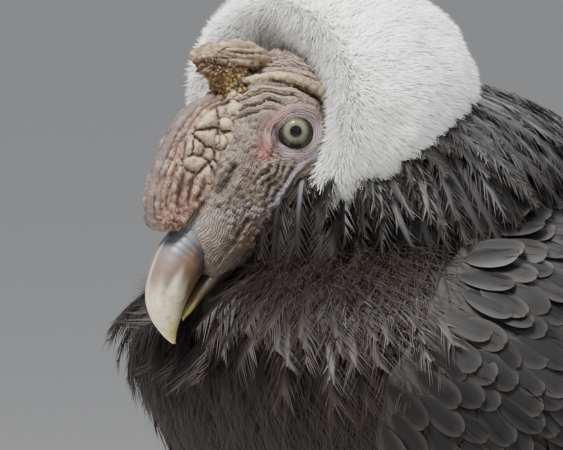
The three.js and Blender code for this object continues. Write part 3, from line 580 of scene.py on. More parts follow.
def put(
    name: str, shell: Shell, material: Material, uv: Array | None = None, soft: Array | None = None
) -> Piece:
    """Makes a Blender object from a shell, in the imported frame.

    Args:
        name: the object's name.
        shell: points in the design frame, faces, and layers that become attributes.
        material: its finish.
        uv: a place on the bake map for each point.
        soft: directions that shade the points as the coat's outside, for tufts too thin to shade alone.

    Returns:
        The new object, linked to the scene.
    """
    mesh = bpy.data.meshes.new(name)
    points = shell.points * MM + PLAN.shift()
    mesh.vertices.add(len(points))
    mesh.vertices.foreach_set("co", points.astype(np.float32).ravel())
    corners = np.concatenate([shell.quads.ravel(), shell.tris.ravel()]).astype(np.int32)
    starts = np.concatenate([
        4 * np.arange(len(shell.quads)), 4 * len(shell.quads) + 3 * np.arange(len(shell.tris))
    ])
    mesh.loops.add(len(corners))
    mesh.loops.foreach_set("vertex_index", corners)
    mesh.polygons.add(len(starts))
    mesh.polygons.foreach_set("loop_start", starts.astype(np.int32))
    mesh.polygons.foreach_set("use_smooth", np.ones(len(starts), bool))
    mesh.update(calc_edges=True)
    for layer, values in shell.layers.items():
        if values.ndim == 1:
            attribute = mesh.attributes.new(layer, "FLOAT", "POINT")
            attribute.data.foreach_set("value", values.astype(np.float32))
        elif values.shape[1] == 3:
            attribute = mesh.attributes.new(layer, "FLOAT_COLOR", "POINT")
            rgba = np.concatenate([values, np.ones((len(values), 1))], axis=1)
            attribute.data.foreach_set("color", rgba.astype(np.float32).ravel())
    if uv is not None:
        mesh.uv_layers.new(name=BAKE_MAP).data.foreach_set("uv", uv[corners].astype(np.float32).ravel())
    if soft is not None:
        mesh.normals_split_custom_set_from_vertices(soft.tolist())
    mesh.materials.append(material)
    piece = bpy.data.objects.new(name, mesh)
    bpy.context.collection.objects.link(piece)
    return piece


def settle(piece: Piece, nodes: tuple[str, ...]) -> None:
    """Rides a piece on the bird, and hides the solids that it stands for.

    Args:
        piece: the piece.
        nodes: names of the solids.
    """
    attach(piece, BODY)
    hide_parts(*nodes)
    LOG.info("%s: %d triangles", piece.name, len(piece.data.loops) - 2 * len(piece.data.polygons))


def dress(
    name: str, shell: Shell, material: Material, nodes: tuple[str, ...],
    uv: Array | None = None, soft: Array | None = None,
) -> None:
    """Makes a piece of a shell and settles it on the bird."""
    settle(put(name, shell, material, uv, soft), nodes)


def evaluated(piece: Piece) -> bpy.types.Mesh:
    """A piece's mesh as its modifiers leave it."""
    return bpy.data.meshes.new_from_object(piece.evaluated_get(bpy.context.evaluated_depsgraph_get()))


def one_skin(shells: list[Shell], voxel: float) -> Shell:
    """The outer surface of several closed shells as one smooth mesh.

    Args:
        shells: closed shells that overlap where they join.
        voxel: grid size in millimetres.

    Returns:
        A shell of quads that keeps the layers of the nearest points.
    """
    whole = joined(shells)
    rough = put("skin_form", whole, bpy.data.materials.new("form"))
    wrap = rough.modifiers.new("wrap", "REMESH")
    wrap.mode, wrap.voxel_size, wrap.adaptivity = "VOXEL", voxel * MM, 0.0
    mesh = evaluated(rough)
    points = np.zeros(3 * len(mesh.vertices), np.float32)
    mesh.vertices.foreach_get("co", points)
    points = (points.reshape(-1, 3) - PLAN.shift()) / MM
    corners = np.zeros(len(mesh.loops), np.int32)
    mesh.loops.foreach_get("vertex_index", corners)
    bpy.data.objects.remove(rough)
    bpy.data.meshes.remove(mesh)
    skin = relaxed(outward(Shell(points, corners.reshape(-1, 4).astype(np.int64))), 3, 0.5)
    if whole.layers:
        tree = KDTree(len(whole.points))
        for i, p in enumerate(whole.points.tolist()):
            tree.insert(p, i)
        tree.balance()
        nearest = np.array([tree.find(p)[1] for p in skin.points.tolist()])
        skin.layers = {name: values[nearest].astype(float) for name, values in whole.layers.items()}
    return skin


# Finishes


class Signal:
    """A shader socket that can be used in Python expressions."""

    def __init__(self, finish: "Finish", socket: bpy.types.NodeSocket) -> None:
        """Wraps one output socket of a finish."""
        self.finish = finish
        self.socket = socket

    def math(self, operation: str, *others: "Signal | float") -> "Signal":
        """One Math node that starts from this socket."""
        return self.finish.add("ShaderNodeMath", {"operation": operation}, dict(enumerate((self, *others))))

    def __add__(self, other: "Signal | float") -> "Signal":
        """The sum."""
        return self.math("ADD", other)

    __radd__ = __add__

    def __sub__(self, other: "Signal | float") -> "Signal":
        """The difference."""
        return self.math("SUBTRACT", other)

    def __mul__(self, other: "Signal | float") -> "Signal":
        """The product."""
        return self.math("MULTIPLY", other)

    __rmul__ = __mul__

    def __pow__(self, other: float) -> "Signal":
        """A power."""
        return self.math("POWER", other)

    def ramp(self, low: float, high: float) -> "Signal":
        """0 below low, 1 above high and smooth between."""
        inputs = {"Value": self, "From Min": low, "From Max": high}
        return self.finish.add("ShaderNodeMapRange", {"interpolation_type": "SMOOTHSTEP"}, inputs)


class Finish:
    """One material, built from nodes."""

    def __init__(self, name: str) -> None:
        """Starts an empty node tree.

        Args:
            name: the material's name.
        """
        self.material = bpy.data.materials.new(name)
        self.material.use_nodes = True
        self.nodes = self.material.node_tree.nodes
        self.nodes.clear()
        self.place = self.add("ShaderNodeTexCoord", output="Object")

    def add(
        self, kind: str, settings: dict | None = None, inputs: dict | None = None, output: str | int = 0
    ) -> Signal:
        """Adds a node.

        Args:
            kind: the node's type.
            settings: properties that are set first.
            inputs: values or signals for its sockets, by name or number.
            output: the socket to return.

        Returns:
            The chosen output.
        """
        node = self.nodes.new(kind)
        for key, value in (settings or {}).items():
            setattr(node, key, value)
        for key, value in (inputs or {}).items():
            socket = node.inputs[key]
            if isinstance(value, Signal):
                self.material.node_tree.links.new(value.socket, socket)
            elif isinstance(value, tuple) and len(value) == 3 and socket.type == "RGBA":
                socket.default_value = (*value, 1.0)
            else:
                socket.default_value = value
        return Signal(self, node.outputs[output])

    def layer(self, name: str) -> Signal:
        """A number that lies on the mesh."""
        return self.add("ShaderNodeAttribute", {"attribute_name": name}, output="Fac")

    def painted(self, name: str) -> Signal:
        """A colour that lies on the mesh."""
        return self.add("ShaderNodeAttribute", {"attribute_name": name}, output="Color")

    def noise(self, size: float, detail: float, stretch: tuple = (1, 1, 1)) -> Signal:
        """Noise with bumps of a size in metres.

        Args:
            size: the bumps' size.
            detail: how many finer layers it has.
            stretch: how many more bumps there are along each axis.

        Returns:
            The noise.
        """
        place = self.place
        if stretch != (1, 1, 1):
            place = self.add("ShaderNodeMapping", None, {"Vector": place, "Scale": stretch}, "Vector")
        inputs = {"Vector": place, "Scale": 1 / size, "Detail": detail}
        return self.add("ShaderNodeTexNoise", None, inputs, "Fac")

    def cells(self, size: float) -> Signal:
        """Distance from the edge of cells of a size in metres."""
        inputs = {"Vector": self.place, "Scale": 1 / size}
        return self.add("ShaderNodeTexVoronoi", {"feature": "DISTANCE_TO_EDGE"}, inputs, "Distance")

    def mix(
        self, share: Signal | float, first: Signal | Colour, second: Signal | Colour, blend: str = "MIX"
    ) -> Signal:
        """Two colours mixed by a share of the second."""
        settings = {"data_type": "RGBA", "blend_type": blend}
        return self.add("ShaderNodeMix", settings, {0: share, 6: first, 7: second}, 2)

    def shaded(self, base: Signal, shade: Signal) -> Signal:
        """A colour made lighter or darker by a share."""
        grey = self.add("ShaderNodeCombineColor", None, {0: shade, 1: shade, 2: shade}, "Color")
        return self.mix(1.0, base, grey, "MULTIPLY")

    def bump(self, height: Signal, depth: float) -> Signal:
        """A bump of a depth in metres."""
        inputs = {"Height": height, "Distance": depth, "Strength": 1.0}
        return self.add("ShaderNodeBump", None, inputs, "Normal")

    def end(self, **sockets: "Signal | float | Colour") -> Material:
        """Finishes the material with one shader.

        Args:
            sockets: the shader's inputs, with spaces written as underscores.

        Returns:
            The material.
        """
        named = {key.replace("_", " "): value for key, value in sockets.items()}
        shader = self.add("ShaderNodeBsdfPrincipled", None, named, "BSDF")
        output = self.nodes.new("ShaderNodeOutputMaterial")
        self.material.node_tree.links.new(shader.socket, output.inputs["Surface"])
        return self.material


@dataclass(frozen=True)
class SkinFinish:
    """Bare wrinkled skin, coloured by its painted layer, with painted shade in its creases, wrinkle troughs
    and granule cracks.
    """

    name: str
    # colour of the painted shade laid into the hollows that the crease layer marks
    crease: Colour = srgb(48, 34, 30)
    period: float = 1.25  # millimetres between fine wrinkles
    grain: float = 0.0012
    depth: float = 0.0005
    roughness: float = 0.62

    def material(self) -> Material:
        """Builds the material.

        Returns:
            The material.
        """
        f = Finish(self.name)
        fine, broad = f.noise(0.0006, 4), f.noise(0.006, 3)
        warp = f.noise(0.0028, 2) * 2.6
        lines = ((f.layer("fold") + warp) * (math.pi / self.period)).math("SINE").math("ABSOLUTE") ** 0.6
        tops = f.cells(self.grain).ramp(0.0, 0.2)
        patchy = f.noise(0.005, 2).ramp(0.35, 0.65) * 0.4 + 0.25
        relief = lerp(1.0, lines, f.layer("wrinkle")) * lerp(1.0, tops, f.layer("grain") * patchy)
        # painted shade: darker in the troughs of the fine wrinkles and in the cracks between granules
        shade = 0.3 + 0.66 * relief + 0.36 * (fine.ramp(0.3, 0.7) - 0.5)
        base = f.shaded(f.painted("paint"), shade)
        # painted shade: the crease colour laid over the deepest hollows
        base = f.mix(f.layer("crease").ramp(0.08, 0.5) * 0.8, base, self.crease)
        base = f.mix(broad.ramp(0.45, 0.75) * 0.2, base, srgb(190, 170, 146))
        rough = self.roughness + 0.25 * (broad - 0.5)
        height = relief + fine * 0.35
        return f.end(Base_Color=base, Roughness=rough, Normal=f.bump(height, self.depth))


@dataclass(frozen=True)
class HornFinish:
    """Smooth horn with streaks along its growth."""

    name: str

    def material(self) -> Material:
        """Builds the material.

        Returns:
            The material.
        """
        f = Finish(self.name)
        streak = f.layer("streak")
        fine, spots = f.noise(0.0012, 3), f.noise(0.004, 2)
        base = f.mix(streak.ramp(0.35, 0.9) * 0.55, f.painted("paint"), srgb(96, 74, 56))
        base = f.mix(spots.ramp(0.62, 0.75) * 0.18, base, srgb(120, 98, 70))
        rough = 0.34 + 0.22 * fine
        height = streak * 0.5 + fine * 0.3
        return f.end(Base_Color=base, Roughness=rough, Coat_Weight=0.15, Coat_Roughness=0.25,
                     Normal=f.bump(height, 0.00018))


@dataclass(frozen=True)
class PlumageFinish:
    """Feathers: dark webs that pale towards their fringe."""

    name: str
    web: Colour
    fringe: Colour
    fringe_share: float = 0.5
    roughness: float = 0.55
    shine: float = 0.3
    barbs: float = 0.0  # how much the barbs show as slanted lines

    def material(self) -> Material:
        """Builds the material.

        Returns:
            The material.
        """
        f = Finish(self.name)
        tone, edge, span = f.layer("tone"), f.layer("edge"), f.layer("span")
        broad = f.noise(0.03, 2)
        share = (edge.ramp(0.35, 1.0) * 0.7 + span.ramp(0.7, 1.0) * 0.5) * self.fringe_share
        base = f.mix(share.math("MINIMUM", 1.0), self.web, self.fringe)
        lines = (f.layer("run") * 4.2).math("SINE") * self.barbs
        shade = (0.68 + 0.5 * tone + 0.35 * (broad - 0.5) + lines) * lerp(0.75, 1.0, edge.ramp(0.0, 0.1))
        base = f.shaded(base, shade)
        rough = self.roughness + 0.2 * (tone - 0.5)
        return f.end(Base_Color=base, Roughness=rough, Specular_IOR_Level=self.shine)


@dataclass(frozen=True)
class PaintedPlumageFinish:
    """Feathers whose colour lies on the mesh."""

    name: str
    roughness: float = 0.5
    shine: float = 0.22

    def material(self) -> Material:
        """Builds the material.

        Returns:
            The material.
        """
        f = Finish(self.name)
        tone, barbs = f.layer("tone"), (f.layer("run") * 4.6).math("SINE")
        base = f.shaded(f.painted("paint"), 0.75 + 0.4 * tone + 0.05 * barbs)
        relief = f.bump(barbs, 0.00005)
        return f.end(Base_Color=base, Roughness=self.roughness, Specular_IOR_Level=self.shine, Normal=relief)


@dataclass(frozen=True)
class DownFinish:
    """Soft white down, creamy at its roots."""

    name: str = "white_down"

    def material(self) -> Material:
        """Builds the material.

        Returns:
            The material.
        """
        f = Finish(self.name)
        span, tone, broad = f.layer("span"), f.layer("tone"), f.noise(0.018, 3)
        base = f.mix(span.ramp(0.0, 0.6), srgb(246, 244, 238), srgb(254, 254, 253))
        base = f.mix(broad.ramp(0.5, 0.8) * 0.2 + tone * 0.05, base, srgb(242, 237, 224))
        return f.end(Base_Color=base, Roughness=0.8, Sheen_Weight=0.25, Sheen_Roughness=0.5,
                     Subsurface_Weight=0.12, Subsurface_Radius=(0.01, 0.009, 0.008), Subsurface_Scale=0.4)


@dataclass(frozen=True)
class PlainFinish:
    """One mottled colour with a fine grain."""

    name: str
    colour: Colour
    second: Colour
    roughness: float = 0.7
    grain: float = 0.003
    depth: float = 0.0004
    coat: float = 0.0

    def material(self) -> Material:
        """Builds the material.

        Returns:
            The material.
        """
        f = Finish(self.name)
        grain = f.noise(self.grain, 4)
        base = f.mix(grain.ramp(0.35, 0.7), self.colour, self.second)
        rough = self.roughness + 0.2 * (grain - 0.5)
        relief = f.bump(grain, self.depth)
        return f.end(Base_Color=base, Roughness=rough, Coat_Weight=self.coat, Normal=relief)


@dataclass(frozen=True)
class EyeFinish:
    """A wet eye with a pale iris, coloured by its painted layer."""

    name: str = "eye_wet"

    def material(self) -> Material:
        """Builds the material.

        Returns:
            The material.
        """
        f = Finish(self.name)
        fine = f.noise(0.0009, 3)
        base = f.mix(fine.ramp(0.4, 0.7) * 0.2, f.painted("paint"), srgb(70, 72, 62))
        return f.end(Base_Color=base, Roughness=0.25, Specular_IOR_Level=0.0, Coat_Weight=0.7,
                     Coat_Roughness=0.02, Coat_IOR=1.4)


@dataclass(frozen=True)
class CrustFinish:
    """Dry grooved crust, coloured by its painted layer, with painted shade in its hollows."""

    name: str = "comb_crust_dry"

    def material(self) -> Material:
        """Builds the material.

        Returns:
            The material.
        """
        f = Finish(self.name)
        grooves = f.noise(0.0016, 5, (1, 0.25, 1))
        pits = f.noise(0.0009, 4)
        base = f.mix(grooves.ramp(0.4, 0.62) * 0.7, f.painted("paint"), srgb(84, 68, 50))
        # painted shade: dark brown laid into the crust's hollows
        base = f.mix(f.layer("crease").ramp(0.05, 0.5) * 0.8, base, srgb(52, 34, 28))
        height = grooves * 0.8 + pits * 0.5
        return f.end(Base_Color=base, Roughness=0.85, Normal=f.bump(height, 0.0007))


# Plumage


@dataclass(frozen=True)
class Vane:
    """The form of a small feather: a narrow web with loose barbs along its edges."""

    barbs: int = 24
    web_steps: int = 5
    loose: float = 0.78  # share of the half width where the barbs hang apart
    fullest: float = 0.4
    taper: float = 0.7
    sweep: float = 2.1  # how far a barb's end lies ahead of its root, in half widths
    camber: float = 0.3
    ragged: float = 0.3
    thick: float = 0.42  # half of a barb's root, as a share of the gap between barbs

    def width(self, y: Array) -> Array:
        """Share of the half width at a share of the length.

        Args:
            y: the share of the length.

        Returns:
            The share of the half width.
        """
        rise = np.sqrt(np.clip(1 - (1 - y / self.fullest) ** 2, 0.03, 1))
        past = np.clip((y - self.fullest) / (1 - self.fullest), 0, 1)
        fall = np.clip(1 - past**2.2, 0.0, 1) ** self.taper
        return np.where(y < self.fullest, rise, np.maximum(fall, 0.1))

    def template(self, rng: Rng) -> tuple[Array, Array]:
        """One feather before it is planted.

        Args:
            rng: the source of its uneven barbs.

        Returns:
            A row for each point (across, along, edge, lift), and the triangles.
        """
        steps = np.linspace(0.0, 0.97, self.web_steps + 1)
        web = self.width(steps) * (1 - self.loose)
        rows = [(0.0, y, 0.0, 0.02) for y in steps]
        faces = []
        for side in (1, -1):
            first, inner = len(rows), 1 - self.loose
            rows += [(side * w, y - 0.02, inner, 0.0) for w, y in zip(web, steps)]
            for k in range(self.web_steps):
                new = [(k, first + k, first + k + 1), (k, first + k + 1, k + 1)]
                faces += new if side > 0 else [face[::-1] for face in new]
            places = np.linspace(0.0, 0.95, self.barbs)
            gap = places[1] - places[0]
            for y in places:
                root = float(np.interp(y, steps, web)) * 0.96
                end = float(self.width(np.array(y))) * (1 + self.ragged * rng.uniform(-1.6, 1))
                thick = self.thick * gap * rng.uniform(0.8, 1.3)
                ahead = gap * rng.uniform(-1.2, 1.8)
                lift = 0.16 * rng.uniform(-1, 1)
                n = len(rows)
                rows += [(side * root, y - thick, inner, 0.0), (side * root, y + thick, inner, 0.0)]
                rows.append((side * end, y + ahead, 1.0, lift))
                face = (n, n + 2, n + 1)
                faces.append(face if side > 0 else face[::-1])
        return np.array(rows, float), np.array(faces)


@dataclass
class Roots:
    """Where feathers grow: places, directions and spots on the unwrapped skin."""

    points: Array
    out: Array
    places: Array
    ahead: Array | None = None

    def pick(self, chosen: Array) -> "Roots":
        """Some of the roots."""
        ahead = None if self.ahead is None else self.ahead[chosen]
        return Roots(self.points[chosen], self.out[chosen], self.places[chosen], ahead)

    def laid(self, flow: Array | tuple) -> "Roots":
        """The roots with feathers that lie along one way, or along a way for each root.

        Args:
            flow: one way, or a row for each root.

        Returns:
            The same roots.
        """
        flow = np.broadcast_to(np.asarray(flow, float), self.out.shape).copy()
        self.ahead = unit(flow - np.einsum("ij,ij->i", flow, self.out)[:, None] * self.out)
        return self

    def laid_by(self, lie: Callable[[Array], Array]) -> "Roots":
        """The roots with feathers that lie along a field of directions."""
        return self.laid(lie(self.points))

    def thinned(self, spacing: Array | float) -> "Roots":
        """Only roots that keep a distance from each other.

        Args:
            spacing: the least distance, or one for each root.

        Returns:
            The roots that are kept.
        """
        tree = KDTree(len(self.points))
        rows = self.points.tolist()
        for i, p in enumerate(rows):
            tree.insert(p, i)
        tree.balance()
        gaps = np.broadcast_to(spacing, len(rows)).tolist()
        keep = np.ones(len(rows), bool)
        for i, p in enumerate(rows):
            if keep[i]:
                for _, j, _ in tree.find_range(p, gaps[i]):
                    if j > i:
                        keep[j] = False
        return self.pick(keep)


@dataclass
class Ground:
    """A sheet of skin that plumage grows from; its rows and columns are its unwrap."""

    grid: Array
    inside: Array  # a point behind the sheet, or one for each row

    def scatter(self, count: int, rng: Rng) -> Roots:
        """Roots spread evenly over the sheet.

        Args:
            count: how many roots.
            rng: the source of their places.

        Returns:
            The roots.
        """
        g = self.grid
        a, b, c, d = g[:-1, :-1], g[1:, :-1], g[1:, 1:], g[:-1, 1:]
        facing = np.cross(c - a, b - d)
        area = np.linalg.norm(facing, axis=-1).ravel()
        cells = rng.choice(len(area), count, p=area / area.sum())
        row, column = np.divmod(cells, g.shape[1] - 1)
        s, t = rng.random((2, count, 1))
        low = lerp(a[row, column], d[row, column], t)
        high = lerp(b[row, column], c[row, column], t)
        points = lerp(low, high, s)
        out = unit(facing[row, column])
        behind = self.inside[row] if self.inside.ndim == 2 else self.inside
        out *= np.sign(np.einsum("ij,ij->i", out, points - behind))[:, None]
        places = np.stack([
            (column + t[:, 0]) / (g.shape[1] - 1), (row + s[:, 0]) / (g.shape[0] - 1)
        ], axis=1)
        return Roots(points, out, places)


def on_rings(rings: Array, count: int, rng: Rng) -> Roots:
    """Roots spread evenly over rings, facing away from the rings' middles."""
    return Ground(rings, rings.mean(axis=1)).scatter(count, rng)


@dataclass
class Planting:
    """Sizes of the feathers on one patch; each is a number or one for each root."""

    length: Array | float
    width: Array | float
    pitch: Array | float = 0.16
    bend: Array | float = 0.3
    roll: float = 0.12
    unruly: float = 0.12
    variants: int = 5


def on_map(places: Array, local: Array) -> Array:
    """Places on the bake map: each root's, inside a margin, with the points of its patch round it."""
    return (places[:, None] * (1 - 2 * MAP_MARGIN) + MAP_MARGIN + local[None]).reshape(-1, 2)


def plant(vane: Vane, roots: Roots, planting: Planting, rng: Rng) -> tuple[Shell, Array]:
    """Grows feathers on their roots.

    Args:
        vane: the feather's form.
        roots: where they grow and the way they lie.
        planting: their sizes.
        rng: seeded random numbers.

    Returns:
        All feathers as one shell, and each point's place on the bake map.
    """
    count = len(roots.points)
    spread = [np.broadcast_to(v, count).astype(float) for v in (
        planting.length, planting.width, planting.pitch, planting.bend)]
    length, width, pitch, bend = (v * (1 + 0.1 * rng.uniform(-1, 1, count)) for v in spread)
    yaw = planting.unruly * rng.normal(size=count)
    roll = planting.roll * rng.normal(size=count)
    aside = unit(np.cross(roots.ahead, roots.out))
    ahead = np.cos(yaw)[:, None] * roots.ahead + np.sin(yaw)[:, None] * aside
    aside = unit(np.cross(ahead, roots.out))
    level = np.cos(roll)[:, None] * aside + np.sin(roll)[:, None] * roots.out
    tone = rng.random(count)
    shells, maps = [], []
    kind = rng.integers(0, planting.variants, count)
    for number in range(planting.variants):
        form, faces = vane.template(rng)
        mine = np.flatnonzero(kind == number)
        if not len(mine):
            continue
        across, along, edge, lift = form.T
        half = width[mine, None] / 2
        reach = length[mine, None] * along + vane.sweep * np.abs(across) * half
        curl = (bend[mine, None] + 1e-4) / length[mine, None]
        angle = pitch[mine, None] - curl * reach
        y = (np.sin(pitch[mine, None]) - np.sin(angle)) / curl
        z = (np.cos(angle) - np.cos(pitch[mine, None])) / curl
        z = z + half * (lift - vane.camber * across**2)
        points = (
            roots.points[mine, None]
            + level[mine, None] * (across * half)[..., None]
            + ahead[mine, None] * y[..., None]
            + roots.out[mine, None] * z[..., None]
        )
        n, m = len(mine), len(form)
        tris = (faces[None] + (np.arange(n) * m)[:, None, None]).reshape(-1, 3)
        layers = {
            "tone": np.repeat(tone[mine], m),
            "edge": np.tile(edge, n),
            "span": np.tile(along, n),
            "run": (length[mine, None] * along + (vane.sweep - 1) * np.abs(across) * half).ravel(),
        }
        shells.append(Shell(points.reshape(-1, 3), tris=tris, layers=layers))
        local = np.stack([across / 2, along - 0.5], axis=1) * PATCH
        maps.append(on_map(roots.places[mine], local))
    return joined(shells), np.concatenate(maps)


def grow_coat(
    name: str, vane: Vane, roots: Roots, planting: Planting, finish: Material, node: str, rng: Rng,
) -> None:
    """Plants feathers on roots and settles them as one piece.

    Args:
        name: the piece's name.
        vane: the feather's form.
        roots: where they grow and the way they lie.
        planting: their sizes.
        finish: their material.
        node: the solid that they cover.
        rng: seeded random numbers.
    """
    shell, places = plant(vane, roots, planting, rng)
    dress(name, shell, finish, (node,), places)


@dataclass(frozen=True)
class Blade:
    """The form of one tuft of down: a thin bent blade with a point."""

    length: float = 6.6
    width: float = 0.42
    unruly: float = 0.3
    curl: float = 0.4

    def grow(self, roots: Roots, leans: Array, rng: Rng) -> tuple[Shell, Array, Array]:
        """Grows one blade on each root, by how far each leans ahead.

        Args:
            roots: where the blades stand, with their lie.
            leans: how far each blade leans ahead.
            rng: the source of what differs between blades.

        Returns:
            All blades, each point's place on the bake map, and directions to shade them by.
        """
        count = len(roots.points)
        clump = np.stack([waves(roots.points, 6.0, 11 + k) for k in range(3)], axis=1)
        stray = rng.normal(size=(count, 3))
        way = unit(roots.out + leans * roots.ahead + 0.28 * clump + self.unruly * stray)
        length = self.length * rng.uniform(0.6, 1.25, count)[:, None]
        face = unit(np.cross(way, roots.out) + 0.5 * np.cross(way, rng.normal(size=(count, 3))))
        half = self.width / 2 * rng.uniform(0.7, 1.3, count)[:, None] * face
        middle = roots.points + way * length * 0.55
        tip = roots.points + unit(way + self.curl * leans * roots.ahead) * length
        points = np.stack([
            roots.points - half, roots.points + half, middle - half * 0.8, middle + half * 0.8, tip
        ], axis=1)
        faces = np.array([(0, 1, 3), (0, 3, 2), (2, 3, 4)])
        facing = np.cross(points[:, 1] - points[:, 0], points[:, 4] - points[:, 0])
        inward = np.einsum("ij,ij->i", facing, roots.out) < 0
        turned = np.where(inward[:, None, None], faces[None, :, ::-1], faces[None])
        tris = (turned + (np.arange(count) * 5)[:, None, None]).reshape(-1, 3)
        span = np.array([0, 0, 0.55, 0.55, 1.0])
        layers = {"span": np.tile(span, count), "tone": np.repeat(rng.random(count), 5)}
        local = np.array([(-1, -1), (1, -1), (-1, 0), (1, 0), (0, 1)]) * PATCH / 2
        soft = np.repeat(unit(roots.out + 0.1 * way), 5, axis=0)
        shell = Shell(points.reshape(-1, 3), tris=tris, layers=layers)
        return shell, on_map(roots.places, local), soft


def filaments(roots: Roots, length: float, width: float, rise: float, rng: Rng) -> tuple[Shell, Array]:
    """Loose barbs, one thin triangle each, that spread to both sides of the coat's lie.

    Args:
        roots: where the barbs stand, with their lie.
        length: about how long a barb is.
        width: a barb's width at its root.
        rise: how far above the coat a barb may start.
        rng: the source of what differs between barbs.

    Returns:
        The barbs, and each point's place on the bake map.
    """
    count = len(roots.points)
    turn = rng.choice([-1, 1], count) * rng.uniform(0.1, 0.75, count)
    aside = unit(np.cross(roots.ahead, roots.out))
    way = np.cos(turn)[:, None] * roots.ahead + np.sin(turn)[:, None] * aside
    reach = length * rng.uniform(0.5, 1.2, count)[:, None]
    half = unit(np.cross(way, roots.out)) * width / 2
    lift = rise * rng.uniform(0.0, 1.0, count)[:, None] * roots.out
    tip = roots.points + lift + (way + rng.uniform(-0.1, 0.35, (count, 1)) * roots.out) * reach
    points = np.stack([roots.points + lift - half, roots.points + lift + half, tip], axis=1)
    layers = {
        "tone": np.repeat(rng.random(count), 3), "edge": np.tile([0.4, 0.4, 1.0], count),
        "span": np.tile([0.3, 0.3, 1.0], count), "run": np.tile([0.0, 0.0, 1.0], count),
    }
    local = np.array([(-1, -1), (1, -1), (0, 1)]) * PATCH / 2
    shell = Shell(points.reshape(-1, 3), tris=np.arange(3 * count).reshape(-1, 3), layers=layers)
    return shell, on_map(roots.places, local)


def lie_of_coat(points: Array) -> Array:
    """The way that the body's feathers run: away from the neck, then towards the tail.

    Args:
        points: places on the body.

    Returns:
        One direction a point.
    """
    neck = np.array([0.0, -176.0, 652.0])
    apart = points - neck
    near = np.exp(-((np.linalg.norm(apart, axis=1) / 150) ** 2))[:, None]
    front = ease((-90 - points[:, 1]) / 60)[:, None]
    return unit(apart) * near + TAILWARD * (1 - near) + np.array([0, 0, -1.0]) * (0.3 + 0.7 * front)


# Head


@dataclass(frozen=True)
class Stroke:
    """A fold or crease: a line on the left of the head, mirrored to the right."""

    path: tuple
    width: float
    rise: float  # above nought for a fold, below for a crease


@dataclass(frozen=True)
class Dab:
    """A patch of colour round a line on the left of the head, mirrored to the right."""

    path: tuple
    reach: float
    colour: Colour
    share: float = 1.0


@dataclass(frozen=True)
class Lids:
    """The opening of the eye, as a ring that is drawn out to a corner in front."""

    radius: float = 6.15
    squash: float = 0.9
    corner: float = 0.36
    corner_turn: float = -0.44  # how far below straight ahead the corner lies
    way: tuple = (0.375, 0.2, 0.905)  # where the left eye's lids face

    def frame(self, way: tuple, side: int) -> tuple[Array, Array, Array]:
        """Directions out of the eye, forward and up across it.

        Args:
            way: where the left eye faces.
            side: 1 for the left eye, -1 for the right.

        Returns:
            The three directions.
        """
        out = unit(np.array([way[0], way[1], side * way[2]]))
        forward = unit(np.array([1.0, 0, 0]) - out[0] * out)
        return out, forward, np.cross(out, forward) * side

    def reach(self, turn: Array) -> Array:
        """Distance from the middle of the opening to its edge."""
        point = np.clip(np.cos(turn + self.corner_turn), 0, 1) ** 5
        return self.radius * (1 + self.corner * point)

    def outside(self, points: Array, side: int) -> tuple[Array, Array]:
        """How far points lie outside the edge, and in front of the eyeball's middle.

        Args:
            points: places on the head.
            side: 1 for the left eye, -1 for the right.

        Returns:
            The two distances of each point.
        """
        out, forward, up = self.frame(self.way, side)
        rel = points - PLAN.eye(side)
        x, y = rel @ forward, rel @ up / self.squash
        return np.hypot(x, y) - self.reach(np.arctan2(y, x)), rel @ out


